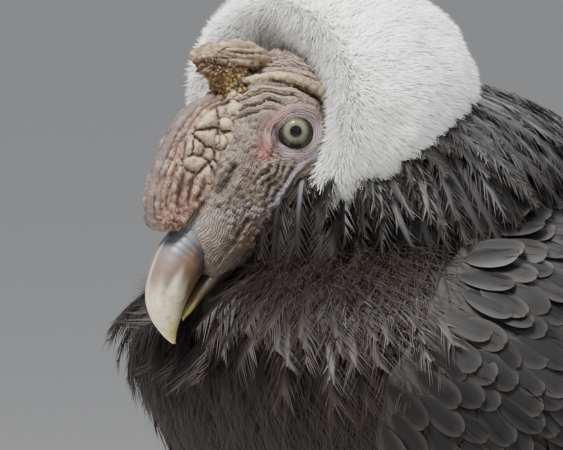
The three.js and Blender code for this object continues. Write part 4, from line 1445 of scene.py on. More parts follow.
@dataclass
class Head:
    """The bare head with its comb, lids, folds and neck, as one skin."""

    voxel: float = 0.79
    gaze: tuple[float, float, float] = (0.365, 0.305, 0.88)  # where the left eye looks
    lid: Lids = Lids()
    comb_half: float = 11.5
    # forward, top, bottom, half width, squareness
    skull: Stations = Stations(
        (-55, 6, -14, 13, 2), (-50, 13, -21, 22, 2), (-36, 22, -33, 32, 2.1), (-20, 27, -38, 36, 2.2),
        (-5, 28, -39, 35.5, 2.3), (6, 26, -40, 33.5, 2.4), (16, 22, -40, 29.5, 2.4), (26, 16, -40, 24.5, 2.4),
        (38, 9, -40, 19, 2.4), (50, 1, -40, 15, 2.3), (62, -5.5, -40, 12.4, 2.3),
        (66, -8.5, -38.5, 10.4, 2.2),
    )
    # share of the comb's length from the front, forward, up
    comb_edge: Stations = Stations(
        (0, 71, -4), (0.05, 73.6, 0), (0.16, 70, 8), (0.34, 59, 19), (0.52, 46, 26.5), (0.7, 33, 31.5),
        (0.84, 23, 32.5), (1, 14, 30),
    )
    # the same for the line where it meets the head
    comb_root: Stations = Stations(
        (0, 66, -7), (0.16, 60, -4), (0.34, 50, -1), (0.52, 40, 4), (0.7, 30, 9), (0.84, 22, 14), (1, 10, 19),
    )
    # share of the way down, y, z, half width, half depth
    neck: Stations = Stations(
        (0, -176, 662, 29, 27), (0.35, -170, 640, 33, 30), (0.7, -160, 612, 37, 34), (1, -150, 585, 38, 36),
    )
    neck_lean: float = 0.35
    rope_line: tuple = (
        (4, 30, 9), (-2, 27.5, 14), (-8, 25, 21), (-13, 19.5, 29.5), (-16.5, 12, 35.5),
        (-18.5, 5, 37.5), (-18.5, 1, 37.5),
    )
    rope_radii: tuple = (1.2, 1.7, 2.0, 2.3, 2.7, 2.8, 1.5)
    # share along, forward and up above, forward and up below, half width
    crust_line: Stations = Stations(
        (0, 10, 48, 12.5, 39.5, 9), (0.05, 9, 49.5, 12.5, 38.5, 10.5), (0.25, 3.5, 50.2, 9, 37, 11.5),
        (0.45, -3, 47.5, 4, 35, 12.5), (0.65, -9, 43, -2, 31, 12.5), (0.82, -13.5, 36.5, -7, 26.5, 12),
        (0.96, -16, 31.5, -10, 23.2, 11.5), (1, -16, 30.3, -10.7, 23.2, 10.5),
    )
    # height, front, back, half width, squareness
    column_form: Stations = Stations(
        (14, 22, 8, 11, 2.4), (22, 22, 6, 10.5, 2.4), (30, 22, 3, 10.5, 2.4), (36, 20, 1, 10.5, 2.4),
        (41, 17, 1, 9, 2.4),
    )

    def strokes(self) -> list[Stroke]:
        """The larger folds and creases of the face.

        Returns:
            The strokes.
        """
        folds = [
            Stroke(((-6, -6, 37), (-1, -10, 34), (9, -12.5, 32), (19, -16.5, 27.5), (27, -23, 22.5)),
                   1.5, 1.3),
            Stroke(((-5, -9.5, 36.5), (1, -13.5, 33.5), (11, -16, 31), (20, -20, 26.5), (26, -26, 22.5)),
                   1.0, -0.9),
            Stroke(((12, 3.5, 31), (20, -3, 27), (25, -12, 24.5), (31, -20, 21.5), (34, -30, 18.5)),
                   1.1, -1.0),
            Stroke(((40, -20.5, 18), (50, -25.5, 15.5), (58, -28.5, 13.5), (67, -31, 11)), 0.9, -2.2),
            Stroke(((33, 4, 19), (38, 0.5, 17), (43, -2.2, 15)), 2.1, -3.4),
            Stroke(((33, 9, 17), (39, 5, 15), (45, 1.8, 13)), 1.3, 1.2),
            Stroke(((34, -3, 20), (40, -6, 18), (46, -6.6, 15.5)), 1.3, 1.0),
            Stroke(((-14.5, 5, 36), (-12.5, -1.5, 37), (-10.5, -7, 36.5)), 1.8, -1.8),
        ]
        for k in range(4):
            r = 2.9 * k
            folds.append(Stroke((
                (45 - r, -15 - 0.5 * r, 17 + 0.7 * r), (49 - 0.6 * r, -21 - 0.3 * r, 16 + 0.6 * r),
                (48 - r, -27 - 0.4 * r, 16 + 0.6 * r), (42 - r, -34, 17 + 0.5 * r)), 1.0, 0.9))
        return folds

    def bare_skull(self) -> Shell:
        """The skull's form with its eye sockets and ears.

        Returns:
            A closed shell on the head.
        """
        u = np.linspace(-55, 66, 110)
        turn = circle(130)
        up, aside = hoop(self.skull.at(u)[:, 1:], turn)
        grid = np.stack([np.broadcast_to(u[:, None], up.shape), up, aside], axis=-1)
        shell = loft(grid, (-58, -4, 0), (67.5, -24, 0))
        p = shell.points
        socket, ear_size = 18, 4.5
        for side in (1, -1):
            out, _, _ = self.lid.frame((0.38, 0.06, 0.92), side)
            dish = PLAN.eye(side) + 21.0 * out
            apart = p - dish
            gap = np.linalg.norm(apart, axis=1, keepdims=True)
            p = np.where(gap < socket, dish + apart / gap * socket, p)
            ear = np.array([-26.0, -9.0, side * 37])
            from_ear = np.linalg.norm((p - ear) * [1, 1.5, 0.6], axis=1, keepdims=True)
            p = p - np.array([[0, 0, side * ear_size]]) * np.exp(-((from_ear / ear_size) ** 2))
        shell.points = p
        return shell

    def dabs(self) -> list[Dab]:
        """The colours of the face, in the order that they are laid on.

        Returns:
            The dabs, first to last.
        """
        return [
            Dab(((-30, 24, 5), (-20, 27, 16), (-24, 18, 30)), 15, srgb(150, 128, 120)),
            Dab(((-40, 0, 30), (-34, -20, 30)), 18, srgb(132, 116, 106)),
            Dab(((4, 28, 10), (-6, 26, 20), (-13, 19, 30)), 8, srgb(184, 166, 142)),
            Dab(((8, 20, 20), (0, 16, 29)), 5, srgb(160, 142, 124)),
            Dab(((30, 6, 18), (14, 16, 22)), 7, srgb(128, 114, 104)),
            Dab(((24, -10, 25), (30, -24, 20), (10, -30, 28)), 9, srgb(132, 118, 106)),
            Dab(((5, -25, 31), (-6, -20, 34)), 8, srgb(152, 132, 110)),
            Dab(((40, -13, 19), (36, -20, 19)), 5, srgb(134, 116, 128), 0.7),
            Dab(((-4, -5, 37), (0, -9, 34), (9, -12, 32), (18, -15.5, 28), (25, -19, 24)), 3.2,
                srgb(150, 142, 158), 0.75),
            Dab(((-2, -14, 34), (8, -18, 31)), 2.6, srgb(172, 112, 112), 0.55),
            Dab(((19, 2.5, 27), (14, 5.5, 28.5), (8, 10, 30.5)), 4.2, srgb(190, 118, 110), 0.75),
            Dab(((8, 9.5, 31), (0, 13, 32)), 2.6, srgb(180, 118, 112), 0.6),
            # painted shade: near black in the deep crease behind the eye
            Dab(((-14.5, 4, 36), (-12.5, -1.5, 37), (-10.5, -7, 36.5)), 2.8, srgb(34, 26, 24), 0.95),
            Dab(((-18, 2, 39), (-15, -8, 38.5)), 2.4, srgb(176, 154, 100), 0.9),
            Dab(((70, -7, 5), (60, -9, 12), (50, -11, 15), (44, -15, 17)), 6, srgb(132, 122, 116)),
            Dab(((60, -24, 12.5), (50, -24, 15)), 4.5, srgb(98, 88, 80)),
            Dab(((42, -24, 17), (47, -29, 15), (40, -34, 17)), 5, srgb(122, 102, 86)),
            # painted shade: near black in the deep slit in front of the eye
            Dab(((33, 4, 19), (38, 0.5, 17), (43, -2.2, 15)), 2.0, srgb(20, 15, 13)),
            Dab(((20, -42, 0), (50, -42, 0)), 12, srgb(96, 82, 74)),
            Dab(((-20, -42, 0), (0, -42, 10)), 16, srgb(110, 84, 72)),
        ]

    def lid_rings(self, side: int) -> list[Shell]:
        """The lids round one eye and the folds outside them.

        Args:
            side: 1 for the left eye, -1 for the right.

        Returns:
            Closed shells on the head.
        """
        out, forward, up = self.lid.frame(self.lid.way, side)
        centre = PLAN.eye(side)
        steps, sides = 72, 12
        turn, tube = circle(steps), circle(sides)
        upper = np.clip(np.sin(turn), 0, 1)
        corner = np.clip(np.cos(turn + self.lid.corner_turn), 0, 1) ** 5
        shells = []
        for gap, height, thick in ((1.1, 6.1, 1.15), (3.3, 5.7, 1.5), (5.8, 6.0, 1.35)):
            reach = self.lid.reach(turn) + gap
            high = height - 1.5 * corner + 0.5 * upper
            path = (
                centre + out * high[:, None]
                + (np.cos(turn) * reach)[:, None] * forward
                + (self.lid.squash * np.sin(turn) * reach)[:, None] * up
            )
            outer = unit((path - centre) - ((path - centre) @ out)[:, None] * out)
            size = thick * (1 + 0.15 * upper)[:, None, None]
            grid = path[:, None] + size * (
                np.cos(tube)[None, :, None] * outer[:, None] * 1.25 + np.sin(tube)[None, :, None] * out
            )
            ring = sheet(np.concatenate([grid, grid[:1]]), wrap=True)
            ring.points = ring.points[: steps * sides]
            ring.quads = ring.quads % (steps * sides)
            shells.append(outward(ring))
        return shells

    def brow(self, side: int) -> Shell:
        """The rope of loose skin over one eye.

        Args:
            side: 1 for the left eye, -1 for the right.

        Returns:
            A closed shell on the head.
        """
        count = 44
        path = smooth_path([(u, v, side * w) for u, v, w in self.rope_line], count)
        given = range(len(self.rope_radii))
        radii = np.interp(np.linspace(0, given[-1], count), given, self.rope_radii)
        step = np.arange(count)
        return rope(path, radii * (1 + 0.09 * np.sin(step * 1.7) + 0.07 * np.sin(step * 3.4 + 1)), 16)

    def comb(self) -> Shell:
        """The fleshy comb's form.

        Returns:
            A closed shell on the head.
        """
        steps, across = 110, 40
        q = np.linspace(0, 1, steps)[:, None]
        r = (1 - np.cos(np.linspace(0, math.pi / 2, across)))[None, :] * 1.04
        edge = self.comb_edge.at(q[:, 0])[:, None, 1:]
        root = self.comb_root.at(q[:, 0])[:, None, 1:]
        flat = edge + (root - edge) * np.broadcast_to(r, (steps, across))[..., None]
        ends = 0.45 + 0.55 * np.sqrt(np.clip(1 - (2 * q - 1) ** 8, 0, 1))
        crown = np.sqrt(np.clip(1 - (1 - np.minimum(1, r / 0.3)) ** 2, 0, 1))
        half = self.comb_half * ends * (0.14 + 0.86 * crown)
        near = np.concatenate([flat, half[..., None]], axis=-1)
        far = np.concatenate([flat, -half[..., None]], axis=-1)
        return loft(np.concatenate([near, far[:, ::-1]], axis=1))

    def column(self) -> Shell:
        """The form of the spongy column under the crust.

        Returns:
            A closed shell on the head.
        """
        heights = np.linspace(14, 41, 28)
        ahead, aside = hoop(self.column_form.at(heights)[:, 1:], circle(60))
        return loft(np.stack([ahead - 10, np.broadcast_to(heights[:, None], aside.shape), aside], axis=-1))

    def bulbs(self) -> list[Shell]:
        """Small bulbs of flesh between comb, column and cheek.

        Returns:
            Closed shells on the head.
        """
        table = (
            (22, 12, 11, 4.6), (17, 6, 14, 3.4), (28, 6, 13, 3.6), (24, 0, 14.5, 3.0), (14, 14, 13.5, 3.4),
            (13, 21, 11, 4.2), (20, 19, 11, 4.2), (11, 26, 11, 3.2), (27, 14, 11.2, 4.0), (34, 1, 13, 2.8),
        )
        return [ball((u, v, side * w), (r, r, r * 0.9)) for u, v, w, r in table for side in (1, -1)]

    def throat(self) -> Shell:
        """The neck, from inside the back of the head down into the body."""
        return loft(sleeve(self.neck.at(np.linspace(0, 1, 40)), circle(72), self.neck_lean))

    def form(self) -> Shell:
        """All forms joined as one smooth skin, with a layer that tells what each point belongs to.

        Returns:
            The skin before it is folded.
        """
        groups = {
            "face": [self.bare_skull()], "comb": [self.comb()], "column": [self.column()],
            "bulb": self.bulbs(), "rope": [self.brow(1), self.brow(-1)],
            "lid": self.lid_rings(1) + self.lid_rings(-1), "throat": [self.throat()],
        }
        forms = []
        for name, shells in groups.items():
            for shell in shells:
                shell.layers = {key: np.full(len(shell.points), float(key == name)) for key in groups}
                shell.points = shell.points if name == "throat" else PLAN.head(shell.points)
                forms.append(outward(shell))
        skin = one_skin(forms, self.voxel)
        for name in groups:
            skin.layers[name] = blurred(skin, skin.layers[name], 3)
        return skin

    def skin(self) -> Shell:
        """The whole skin with its folds, colours and the layers that guide its fine wrinkles.

        Returns:
            The skin in the design frame.
        """
        skin = self.form()
        local = PLAN.on_head(skin.points)
        face = Wrinkles(self, local, skin.layers)
        skin.points = skin.points + skin.normals() * face.rise()[:, None]
        deep = hollows(skin)
        skin.layers = {
            "paint": face.paint(deep), "fold": face.field(), "wrinkle": face.wrinkle(), "grain": face.grain(),
            # crease: depth in the hollows, where the skin's finish lays painted shade
            "crease": np.clip(deep, 0, 1),
        }
        return skin

    def build(self) -> None:
        """Makes the head's pieces."""
        skin = self.skin()
        material = SkinFinish("bare_head_skin").material()
        dress("head_skin", skin, material, ("head", "comb", "neck"))
        self.bristles(skin)
        dress("comb_crust_cap", self.crust(), CrustFinish().material(), ("comb_crust",))
        self.eyes()

    def bristles(self, skin: Shell) -> None:
        """Sparse short bristles on the crown, the cheeks and the lore.

        Args:
            skin: the finished skin of the head.
        """
        rng = np.random.default_rng(5)
        local = PLAN.on_head(skin.points)
        u, v, w = local.T
        comb = (u > 8) & (v > 14) | (u > 34)
        crown = (u < -8) & (v > 4)
        share = np.where(comb, 0.0, np.where(crown, 0.035, 0.012)) * (skin.points[:, 1] < -168)
        spots = np.flatnonzero(rng.random(len(local)) < share)
        turn = np.stack([np.arctan2(w, v) / 7 + 0.5, (u + 60) / 140], axis=1)
        roots = Roots(skin.points[spots], skin.normals()[spots], np.clip(turn[spots], 0, 1))
        roots = roots.laid(np.tile([0, 0.8, -0.5], (len(spots), 1)))
        shell, places = filaments(roots, 5.0, 0.16, 0.0, rng)
        finish = PlainFinish("bristles", srgb(26, 20, 18), srgb(52, 42, 36), 0.6).material()
        dress("head_bristles", shell, finish, ("head",), places)

    def crust(self) -> Shell:
        """The thick dry crust that caps the column, a broken slab that lies along the head.

        Returns:
            A closed shell.
        """
        grid, _ = horn_rings(self.crust_line, 70, 96, 6)
        shell = loft(grid + [0, 0, 1.0])
        shell.points = PLAN.head(shell.points)
        shell = one_skin([outward(shell)], 0.5)
        local = PLAN.on_head(shell.points)
        along = np.array([0.71, 0.70, 0.0])
        level = local @ np.array([-0.70, 0.71, 0.0]) - 20.0
        drift = local - np.outer(local @ along, along)
        ridges = np.abs(waves(drift + 0.12 * np.outer(local @ along, along), 1.7, 81))
        chips = pebbles(local * [1, 1, 0.5], 9.0, 82) ** 0.35
        low_edge = ease((7.5 - level + 1.8 * waves(local, 3.5, 83)) / 2.5)
        crumbs = pebbles(local, 2.2, 84)
        steps = np.floor(waves(local * [1, 1, 0.6], 9.0, 87) * 2.6) / 2.6
        rise = 1.2 * (ridges - 0.4) + 1.3 * (chips - 0.75) + 1.3 * steps
        rise += low_edge * (1.8 * (crumbs - 0.5) - 1.0)
        rise += 0.8 * waves(local, 7.0, 86)
        shell.points = shell.points + shell.normals() * rise[:, None]
        # how deep each point lies in a dip, which the crust's finish darkens as painted shade
        hollow = np.clip(hollows(shell) * 1.5, 0, 1)
        paint = over(srgb(104, 92, 78), srgb(178, 154, 120), 0.5 + 0.6 * waves(local, 5.0, 85))
        # painted shade: darker grey-brown in the bottoms of the grooves between the ridges
        paint = over(paint, srgb(84, 76, 70), ease((0.3 - ridges) / 0.3) * 0.6)
        # painted shade: the crust's lower edge darker for its shaded underside, near black in the cracks
        # between its crumbs
        edge_paint = over(srgb(50, 32, 25), srgb(132, 100, 78), ease(crumbs * 1.5))
        shell.layers = {"paint": over(paint, edge_paint, low_edge * 0.9), "crease": hollow}
        return shell

    def eyes(self) -> None:
        """Makes the two eyeballs, each with a pale iris and a dark pupil."""
        finish = EyeFinish().material()
        tilt = np.concatenate([np.linspace(0.01, 0.9, 50), np.linspace(0.96, math.pi - 0.02, 14)])
        turn = circle(96)
        radius = PLAN.eyeball_radius - 0.15 + 0.6 * ease((0.66 - tilt) / 0.3)
        paint = self.iris(np.append(np.repeat(tilt, len(turn)), [0, math.pi]),
                          np.append(np.tile(turn, len(tilt)), [0, 0]))
        for side, word in SIDES:
            out, forward, up = self.lid.frame(self.gaze, side)
            grid = (
                (np.cos(tilt) * radius)[:, None, None] * out
                + (np.sin(tilt) * radius)[:, None, None]
                * (np.cos(turn)[None, :, None] * forward + np.sin(turn)[None, :, None] * up)
            )
            shell = loft(PLAN.eye(side) + grid)
            shell.points = PLAN.head(shell.points)
            shell.layers = {"paint": paint}
            dress(f"eyeball_{word}", outward(shell), finish, (f"eye_{word}",))

    def iris(self, tilt: Array, turn: Array) -> Array:
        """Colours of the eye by the angle from its middle and round it.

        Args:
            tilt: the angle from the eye's middle.
            turn: the angle round it.

        Returns:
            One colour a point.
        """
        rays = 0.5 + 0.25 * np.sin(23 * turn + 2 * np.sin(5 * turn)) + 0.25 * np.sin(41 * turn)
        ring = over(srgb(76, 78, 63), srgb(112, 114, 95), rays)
        ring = over(ring, srgb(56, 57, 46), ease((tilt - 0.44) / 0.12) * 0.75)
        ring = over(ring, srgb(36, 31, 26), ease((tilt - 0.57) / 0.07))
        ring = over(ring, srgb(66, 70, 62), np.exp(-(((tilt - 0.29) / 0.035) ** 2)) * 0.7)
        return over(ring, (0.003, 0.003, 0.0035), ease((0.262 - tilt) / 0.025))


class Wrinkles:
    """The folds and colours of the head's skin, worked out from places on the head."""

    def __init__(self, head: Head, local: Array, parts: dict[str, Array]) -> None:
        """Measures each point against the brow, the eye and the comb.

        Args:
            head: the head that the skin belongs to.
            local: forward, up and left of each point.
            parts: how much each point belongs to each part.
        """
        self.head = head
        self.local = local
        self.parts = parts
        self.mirrored = local * [1, 1, 0] + np.abs(local[:, 2:]) * [0, 0, 1]
        m = self.mirrored
        self.warp = waves(m, 7.0, 8)
        self.small_warp = waves(m, 3.0, 9)
        self.rope_gap = from_path(m, smooth_path(head.rope_line, 24))
        self.lid_gap, self.lid_height = head.lid.outside(m, 1)
        near_eye = (self.lid_height > 0) & (m[:, 2] > 5)
        self.lid_gap = np.where(near_eye, self.lid_gap, 60.0)
        edge = head.comb_edge.at(np.linspace(0, 1, 40))[:, 1:]
        flat = np.concatenate([m[:, :2], np.zeros((len(m), 1))], axis=1)
        rim = np.concatenate([edge, np.zeros((40, 1))], axis=1)
        self.edge_gap = from_path(flat, rim) + 0.9 * np.minimum(m[:, 2], 11)
        self.around_eye = ease((13 - self.lid_gap) / 7) * ease((self.lid_gap - 0.5) / 1.5)
        self.fan = (
            ease((self.rope_gap - 3.2) / 1.5) * ease((22 - self.rope_gap) / 9) * ease((m[:, 0] + 30) / 10)
            * ease((m[:, 1] - 2) / 6) * (1 - self.around_eye) * ease((24 - m[:, 0]) / 8)
        )
        self.crown = ease((-10 - m[:, 0]) / 10) * ease((m[:, 1] - 6) / 10) * (1 - self.fan)
        self.comb_rear = ease((56 - m[:, 0] + 0.55 * (m[:, 1] - 12)) / 14) * ease((self.edge_gap - 11) / 5)
        self.comb_low = ease((6 - m[:, 1] + 0.35 * (m[:, 0] - 58)) / 8)

    def field(self) -> Array:
        """A distance whose level lines are the fine wrinkles.

        Returns:
            One distance a point.
        """
        m = self.mirrored
        cheek = 0.42 * m[:, 0] + 0.9 * m[:, 1] + 1.4 * self.warp
        total = cheek
        total = lerp(total, self.rope_gap + 0.9 * self.warp, np.maximum(self.fan, self.parts["rope"]))
        total = lerp(total, m[:, 2] + 0.25 * m[:, 0] + 1.5 * self.warp, self.crown)
        total = lerp(total, self.lid_gap, self.around_eye)
        return lerp(total, self.edge_gap + 1.4 * self.warp, self.parts["comb"])

    def wrinkle(self) -> Array:
        """How strong the fine wrinkles are.

        Returns:
            One strength a point.
        """
        strength = 0.7 + 0.3 * self.fan + 0.05 * self.around_eye + 0.2 * self.crown
        strength = lerp(strength, 0.42, self.parts["comb"])
        return strength * (1 - self.parts["column"]) * (1 - 0.6 * self.parts["bulb"])

    def grain(self) -> Array:
        """How strong the fine granules are.

        Returns:
            One strength a point.
        """
        grain = 0.62 - 0.4 * self.around_eye - 0.2 * self.fan
        grain = grain * (1 - 0.7 * ease((self.mirrored[:, 0] - 44) / 10))
        return lerp(grain, 0.35, np.maximum(self.parts["comb"], self.parts["bulb"]))

    def bulb_lumps(self) -> Array:
        """Lumps behind the comb, from 0 in a crease to 1 on top."""
        return pebbles(self.local * [1, 1, 0.6] + 0.8 * self.small_warp[:, None], 6.0, 52) ** 0.45

    def comb_folds(self) -> Array:
        """Folds of the comb, from 0 in a crease to 1 on top.

        Returns:
            One number a point.
        """
        local = self.local
        warp = 1.8 * waves(local, 9.0, 31) + 0.7 * waves(local, 3.5, 32)
        bands = np.abs(np.sin(math.pi * (self.edge_gap + warp + 0.8) / 5.0)) ** 0.65
        breaks = pebbles(local * [1, 1, 0.4] + 0.5 * warp[:, None], 6.5, 35) ** 0.35
        bands = bands * lerp(1.0, breaks, 0.75)
        bands = bands * lerp(1.0, pebbles(local, 2.4, 45) ** 0.4, 0.3)
        lumps = pebbles(local * [1, 1, 0.5] + 0.9 * warp[:, None], 8.0, 41) ** 0.4
        bands = lerp(bands, bands * lumps + 0.1, 0.5)
        fine = pebbles(local * [1.3, 1.0, 0.5], 2.6, 43) ** 0.6
        total = lerp(bands, 0.8 * lumps + 0.2 * fine, self.comb_rear)
        total = lerp(total, 0.35 + 0.5 * fine, 0.85 * self.comb_low)
        return lerp(total, 0.62 + 0.2 * fine, ease((4.0 - self.edge_gap) / 2.5) * 0.8)

    def rise(self) -> Array:
        """How far each point is raised, in millimetres.

        Returns:
            One height a point.
        """
        m = self.mirrored
        face = np.zeros(len(m))
        for stroke in self.head.strokes():
            gap = from_path(m, smooth_path(stroke.path, 14)) + 0.35 * self.small_warp
            face += stroke.rise * np.exp(-((gap / stroke.width) ** 2))
        swell = self.rope_gap + 1.1 * self.warp + 0.5 * self.small_warp
        face += 2.1 * self.fan * (2 * np.abs(np.sin(math.pi * swell / 4.3)) ** 0.6 - 1.3)
        face += 0.35 * self.around_eye * np.cos(2 * math.pi * (self.lid_gap + 0.4 * self.warp) / 2.4)
        lines = m[:, 2] + 3 * self.warp + 0.25 * m[:, 0]
        face += 0.5 * self.crown * np.cos(2 * math.pi * lines / 3.1)
        cheek = ease((4 - m[:, 1]) / 10) * ease((34 - m[:, 0]) / 12) * (1 - self.around_eye)
        across = 0.42 * m[:, 0] + 0.9 * m[:, 1] + 1.6 * self.warp
        face += 0.7 * cheek * np.cos(2 * math.pi * across / 3.4)
        lumps = pebbles(m * [1.0, 1.2, 0.8] + 0.6 * self.warp[:, None], 3.4, 21) ** 0.7
        face += 1.1 * (lumps - 0.5) * (1 - 0.8 * self.around_eye) * (1 - 0.6 * self.fan)
        face += 0.6 * self.warp + 0.4 * waves(m, 4.0, 3)
        face *= lerp(1.0, 0.3, ease((m[:, 0] - 44) / 12))
        comb = (self.comb_folds() - 0.62) * lerp(3.0, 5.0, self.comb_rear)
        sponge = 1.9 * (pebbles(self.local, 2.1, 51) - 0.5) + 0.7 * waves(self.local, 4.0, 54)
        bulb = 2.2 * (self.bulb_lumps() - 0.62)
        rope_rise = 0.9 * (pebbles(m * [1, 1, 1.2], 3.2, 53) ** 0.6 - 0.5)
        throat = 1.3 * np.sin(2 * math.pi * m[:, 1] / 8.5 + 1.5 * self.warp)
        parts = self.parts
        shares = {"comb": comb, "column": sponge, "bulb": bulb, "rope": rope_rise, "throat": throat}
        return parts["face"] * face + sum(parts[name] * value for name, value in shares.items())

    def paint(self, deep: Array) -> Array:
        """The colour of each point, with painted shade in its hollows.

        Args:
            deep: how deep each point lies in a fold.

        Returns:
            One colour a point.
        """
        m, parts = self.mirrored, self.parts
        paint = np.tile(np.array(srgb(126, 110, 99)), (len(m), 1))
        for dab in self.head.dabs():
            gap = from_path(m, np.array(dab.path, float))
            share = dab.share * np.exp(-((gap / dab.reach) ** 2))
            paint = over(paint, dab.colour, share)
        paint = over(paint, srgb(196, 176, 144), parts["rope"] * 0.8)
        paint = over(paint, self.comb_paint(), parts["comb"])
        # painted shade: dark red-brown in the creases between the bulbs' lumps
        bulb = over(srgb(204, 184, 154), srgb(92, 54, 40), ease((0.6 - self.bulb_lumps()) / 0.4))
        paint = over(paint, bulb, parts["bulb"])
        # painted shade: dark brown in the pits of the spongy column
        sponge = ease(pebbles(self.local, 2.1, 51) * 1.6)
        column = over(srgb(84, 56, 26), srgb(196, 160, 92), sponge)
        column = over(column, srgb(196, 182, 152), ease((22 - m[:, 1]) / 6))
        paint = over(paint, column, parts["column"])
        paint = over(paint, srgb(96, 70, 62), parts["throat"])
        for low, high, colour, share in (
            (7.5, 2.0, srgb(132, 118, 132), 0.75), (2.6, 1.2, srgb(160, 140, 142), 0.6),
            (1.3, 0.7, srgb(58, 48, 48), 0.9),
        ):
            near = ease((low - self.lid_gap) / (low - high)) * (self.lid_height > 2)
            paint = over(paint, colour, near * share)
        _, _, up = self.head.lid.frame(self.head.lid.way, 1)
        under = ease((-(m - PLAN.eye(1)) @ up - 2) / 4)
        under = under * ease((6.5 - self.lid_gap) / 3) * ease((self.lid_gap - 1) / 0.8)
        paint = over(paint, srgb(188, 164, 154), under * 0.8)
        paint = paint * lerp(0.74, 0.8, parts["comb"])[:, None]
        # painted shade: colours darkened to three tenths in the hollows, less on the comb
        low = ease((deep - 0.03) / 0.3) * (1 - 0.6 * parts["comb"])
        return over(paint, paint * 0.3, low)

    def comb_paint(self) -> Array:
        """The colour of the comb, with painted shade in the creases between its folds.

        Returns:
            One colour a point.
        """
        soft = 0.5 + 0.5 * waves(self.local, 6.0, 33)
        tops = self.comb_folds()
        paint = over(srgb(146, 116, 100), srgb(190, 160, 134), soft * 0.85)
        paint = over(paint, srgb(204, 180, 152), self.comb_rear * 0.8)
        paint = over(paint, srgb(152, 112, 98), self.comb_low * 0.7)
        paint = over(paint, srgb(108, 98, 96), ease((10.0 - self.edge_gap) / 6.0) * 0.9)
        # painted shade: dark red-brown laid into the creases between the comb's folds
        return over(paint, srgb(76, 36, 27), ease((0.72 - tops) / 0.5) * 0.92)


# Bill


@dataclass
class Bill:
    """The hooked upper horn and the shorter lower horn."""

    sides: int = 88
    # share along, forward and up above, forward and up below, half width
    upper: Stations = Stations(
        (0, 56, -3, 54, -27, 11), (0.14, 66, -7.2, 62, -29.6, 11.6), (0.3, 74, -9.2, 68, -31.5, 11.4),
        (0.44, 83, -13.6, 73, -33.2, 10.8), (0.58, 91, -20.2, 77, -35, 9.4),
        (0.72, 96.4, -28, 81.5, -37.5, 7.2), (0.84, 98.2, -36, 86.6, -41.4, 5),
        (0.94, 97.8, -43, 91.6, -45.2, 2.7), (1, 96.6, -48, 94.4, -48.6, 0.7),
    )
    lower: Stations = Stations(
        (0, 56, -28, 57, -40, 9.8), (0.3, 65, -31, 65, -40, 9), (0.55, 73, -33.6, 72, -40.2, 7.6),
        (0.8, 80.5, -37, 80, -42, 5.2), (1, 85, -41, 85, -43.2, 1.2),
    )

    def horn(self, table: Stations, tip: tuple, steps: int, power: float) -> tuple[Shell, Array, Array]:
        """A horn over its rings.

        Args:
            table: the horn's two lines and half width.
            tip: forward and up of its tip.
            steps: how many rings.
            power: how square the rings are.

        Returns:
            The shell on the head, each point's place along the horn and its share of the height.
        """
        grid, high = horn_rings(table, steps, self.sides, power)
        along = np.append(np.repeat(np.linspace(0, 1, steps), self.sides), [0, 1])
        height = np.append(np.tile(high, steps), [0.5, 0.5])
        return loft(grid, None, (*tip, 0)), along, height

    def colours(self, along: Array, height: Array, w: Array, is_upper: bool) -> Array:
        """Colours of a horn by the place along it and the share of its height.

        Args:
            along: each point's place along the horn.
            height: its share of the height.
            w: its distance from the middle.
            is_upper: whether it is on the upper horn.

        Returns:
            One colour a point.
        """
        drift = 0.07 * np.sin(9 * height + 3) + 0.04 * np.sin(23 * height)
        t = along + drift
        if not is_upper:
            paint = over(srgb(40, 33, 27), srgb(84, 74, 46), ease((t - 0.3) / 0.5))
            return over(paint, srgb(150, 142, 84), ease((t - 0.7) / 0.2) * 0.8)
        # painted highlight: the upper part of the upper horn lighter blue-grey than its slate lower part
        paint = over(srgb(46, 46, 48), srgb(92, 99, 106), ease((height - 0.55) / 0.35))
        paint = over(paint, srgb(112, 84, 62), ease((t - 0.2) / 0.16) * 0.6)
        pale = ease((t - 0.42) / 0.26) * (0.4 + 0.6 * ease((height - 0.1) / 0.5))
        paint = over(paint, srgb(206, 200, 172), pale)
        paint = over(paint, srgb(186, 182, 96), ease((t - 0.8) / 0.16) * 0.75)
        culmen = ease((1.6 - np.abs(w)) / 1.4) * ease((height - 0.6) / 0.2) * ease((t - 0.12) / 0.1)
        paint = over(paint, srgb(214, 204, 178), culmen * 0.6)
        edge = ease((0.14 - height) / 0.1) * ease((t - 0.1) / 0.2)
        return over(paint, srgb(108, 92, 54), edge * 0.8)

    def build(self) -> None:
        """Makes both horns."""
        finish = HornFinish("bill_horn").material()
        for word, table, tip, steps, power in (
            ("upper", self.upper, (95.4, -49.6), 150, 2.2), ("lower", self.lower, (86.2, -43.6), 90, 2.3)
        ):
            shell, along, height = self.horn(table, tip, steps, power)
            local = shell.points
            streak = waves(local * [0.22, 0.5, 1.4] @ self.turned(), 1.0, 91)
            fine = 0.5 + 0.3 * streak + 0.2 * waves(local * [0.3, 1.2, 2.6], 0.9, 92)
            rings = np.sin(2 * math.pi * along * 16 + 2 * waves(local, 8, 93))
            growth = 0.12 * rings * ease((0.5 - along) / 0.4)
            paint = self.colours(along, height, local[:, 2], word == "upper")
            shell.layers = {"paint": paint, "streak": fine}
            shell.points = PLAN.head(local + shell.normals() * growth[:, None])
            dress(f"horn_{word}", outward(shell), finish, (f"bill_{word}",))

    def turned(self) -> Array:
        """A turn that lines the streaks up with the falling bill."""
        c, s = math.cos(0.6), math.sin(0.6)
        return np.array([[c, s, 0], [-s, c, 0], [0, 0, 1]])


# Ruff


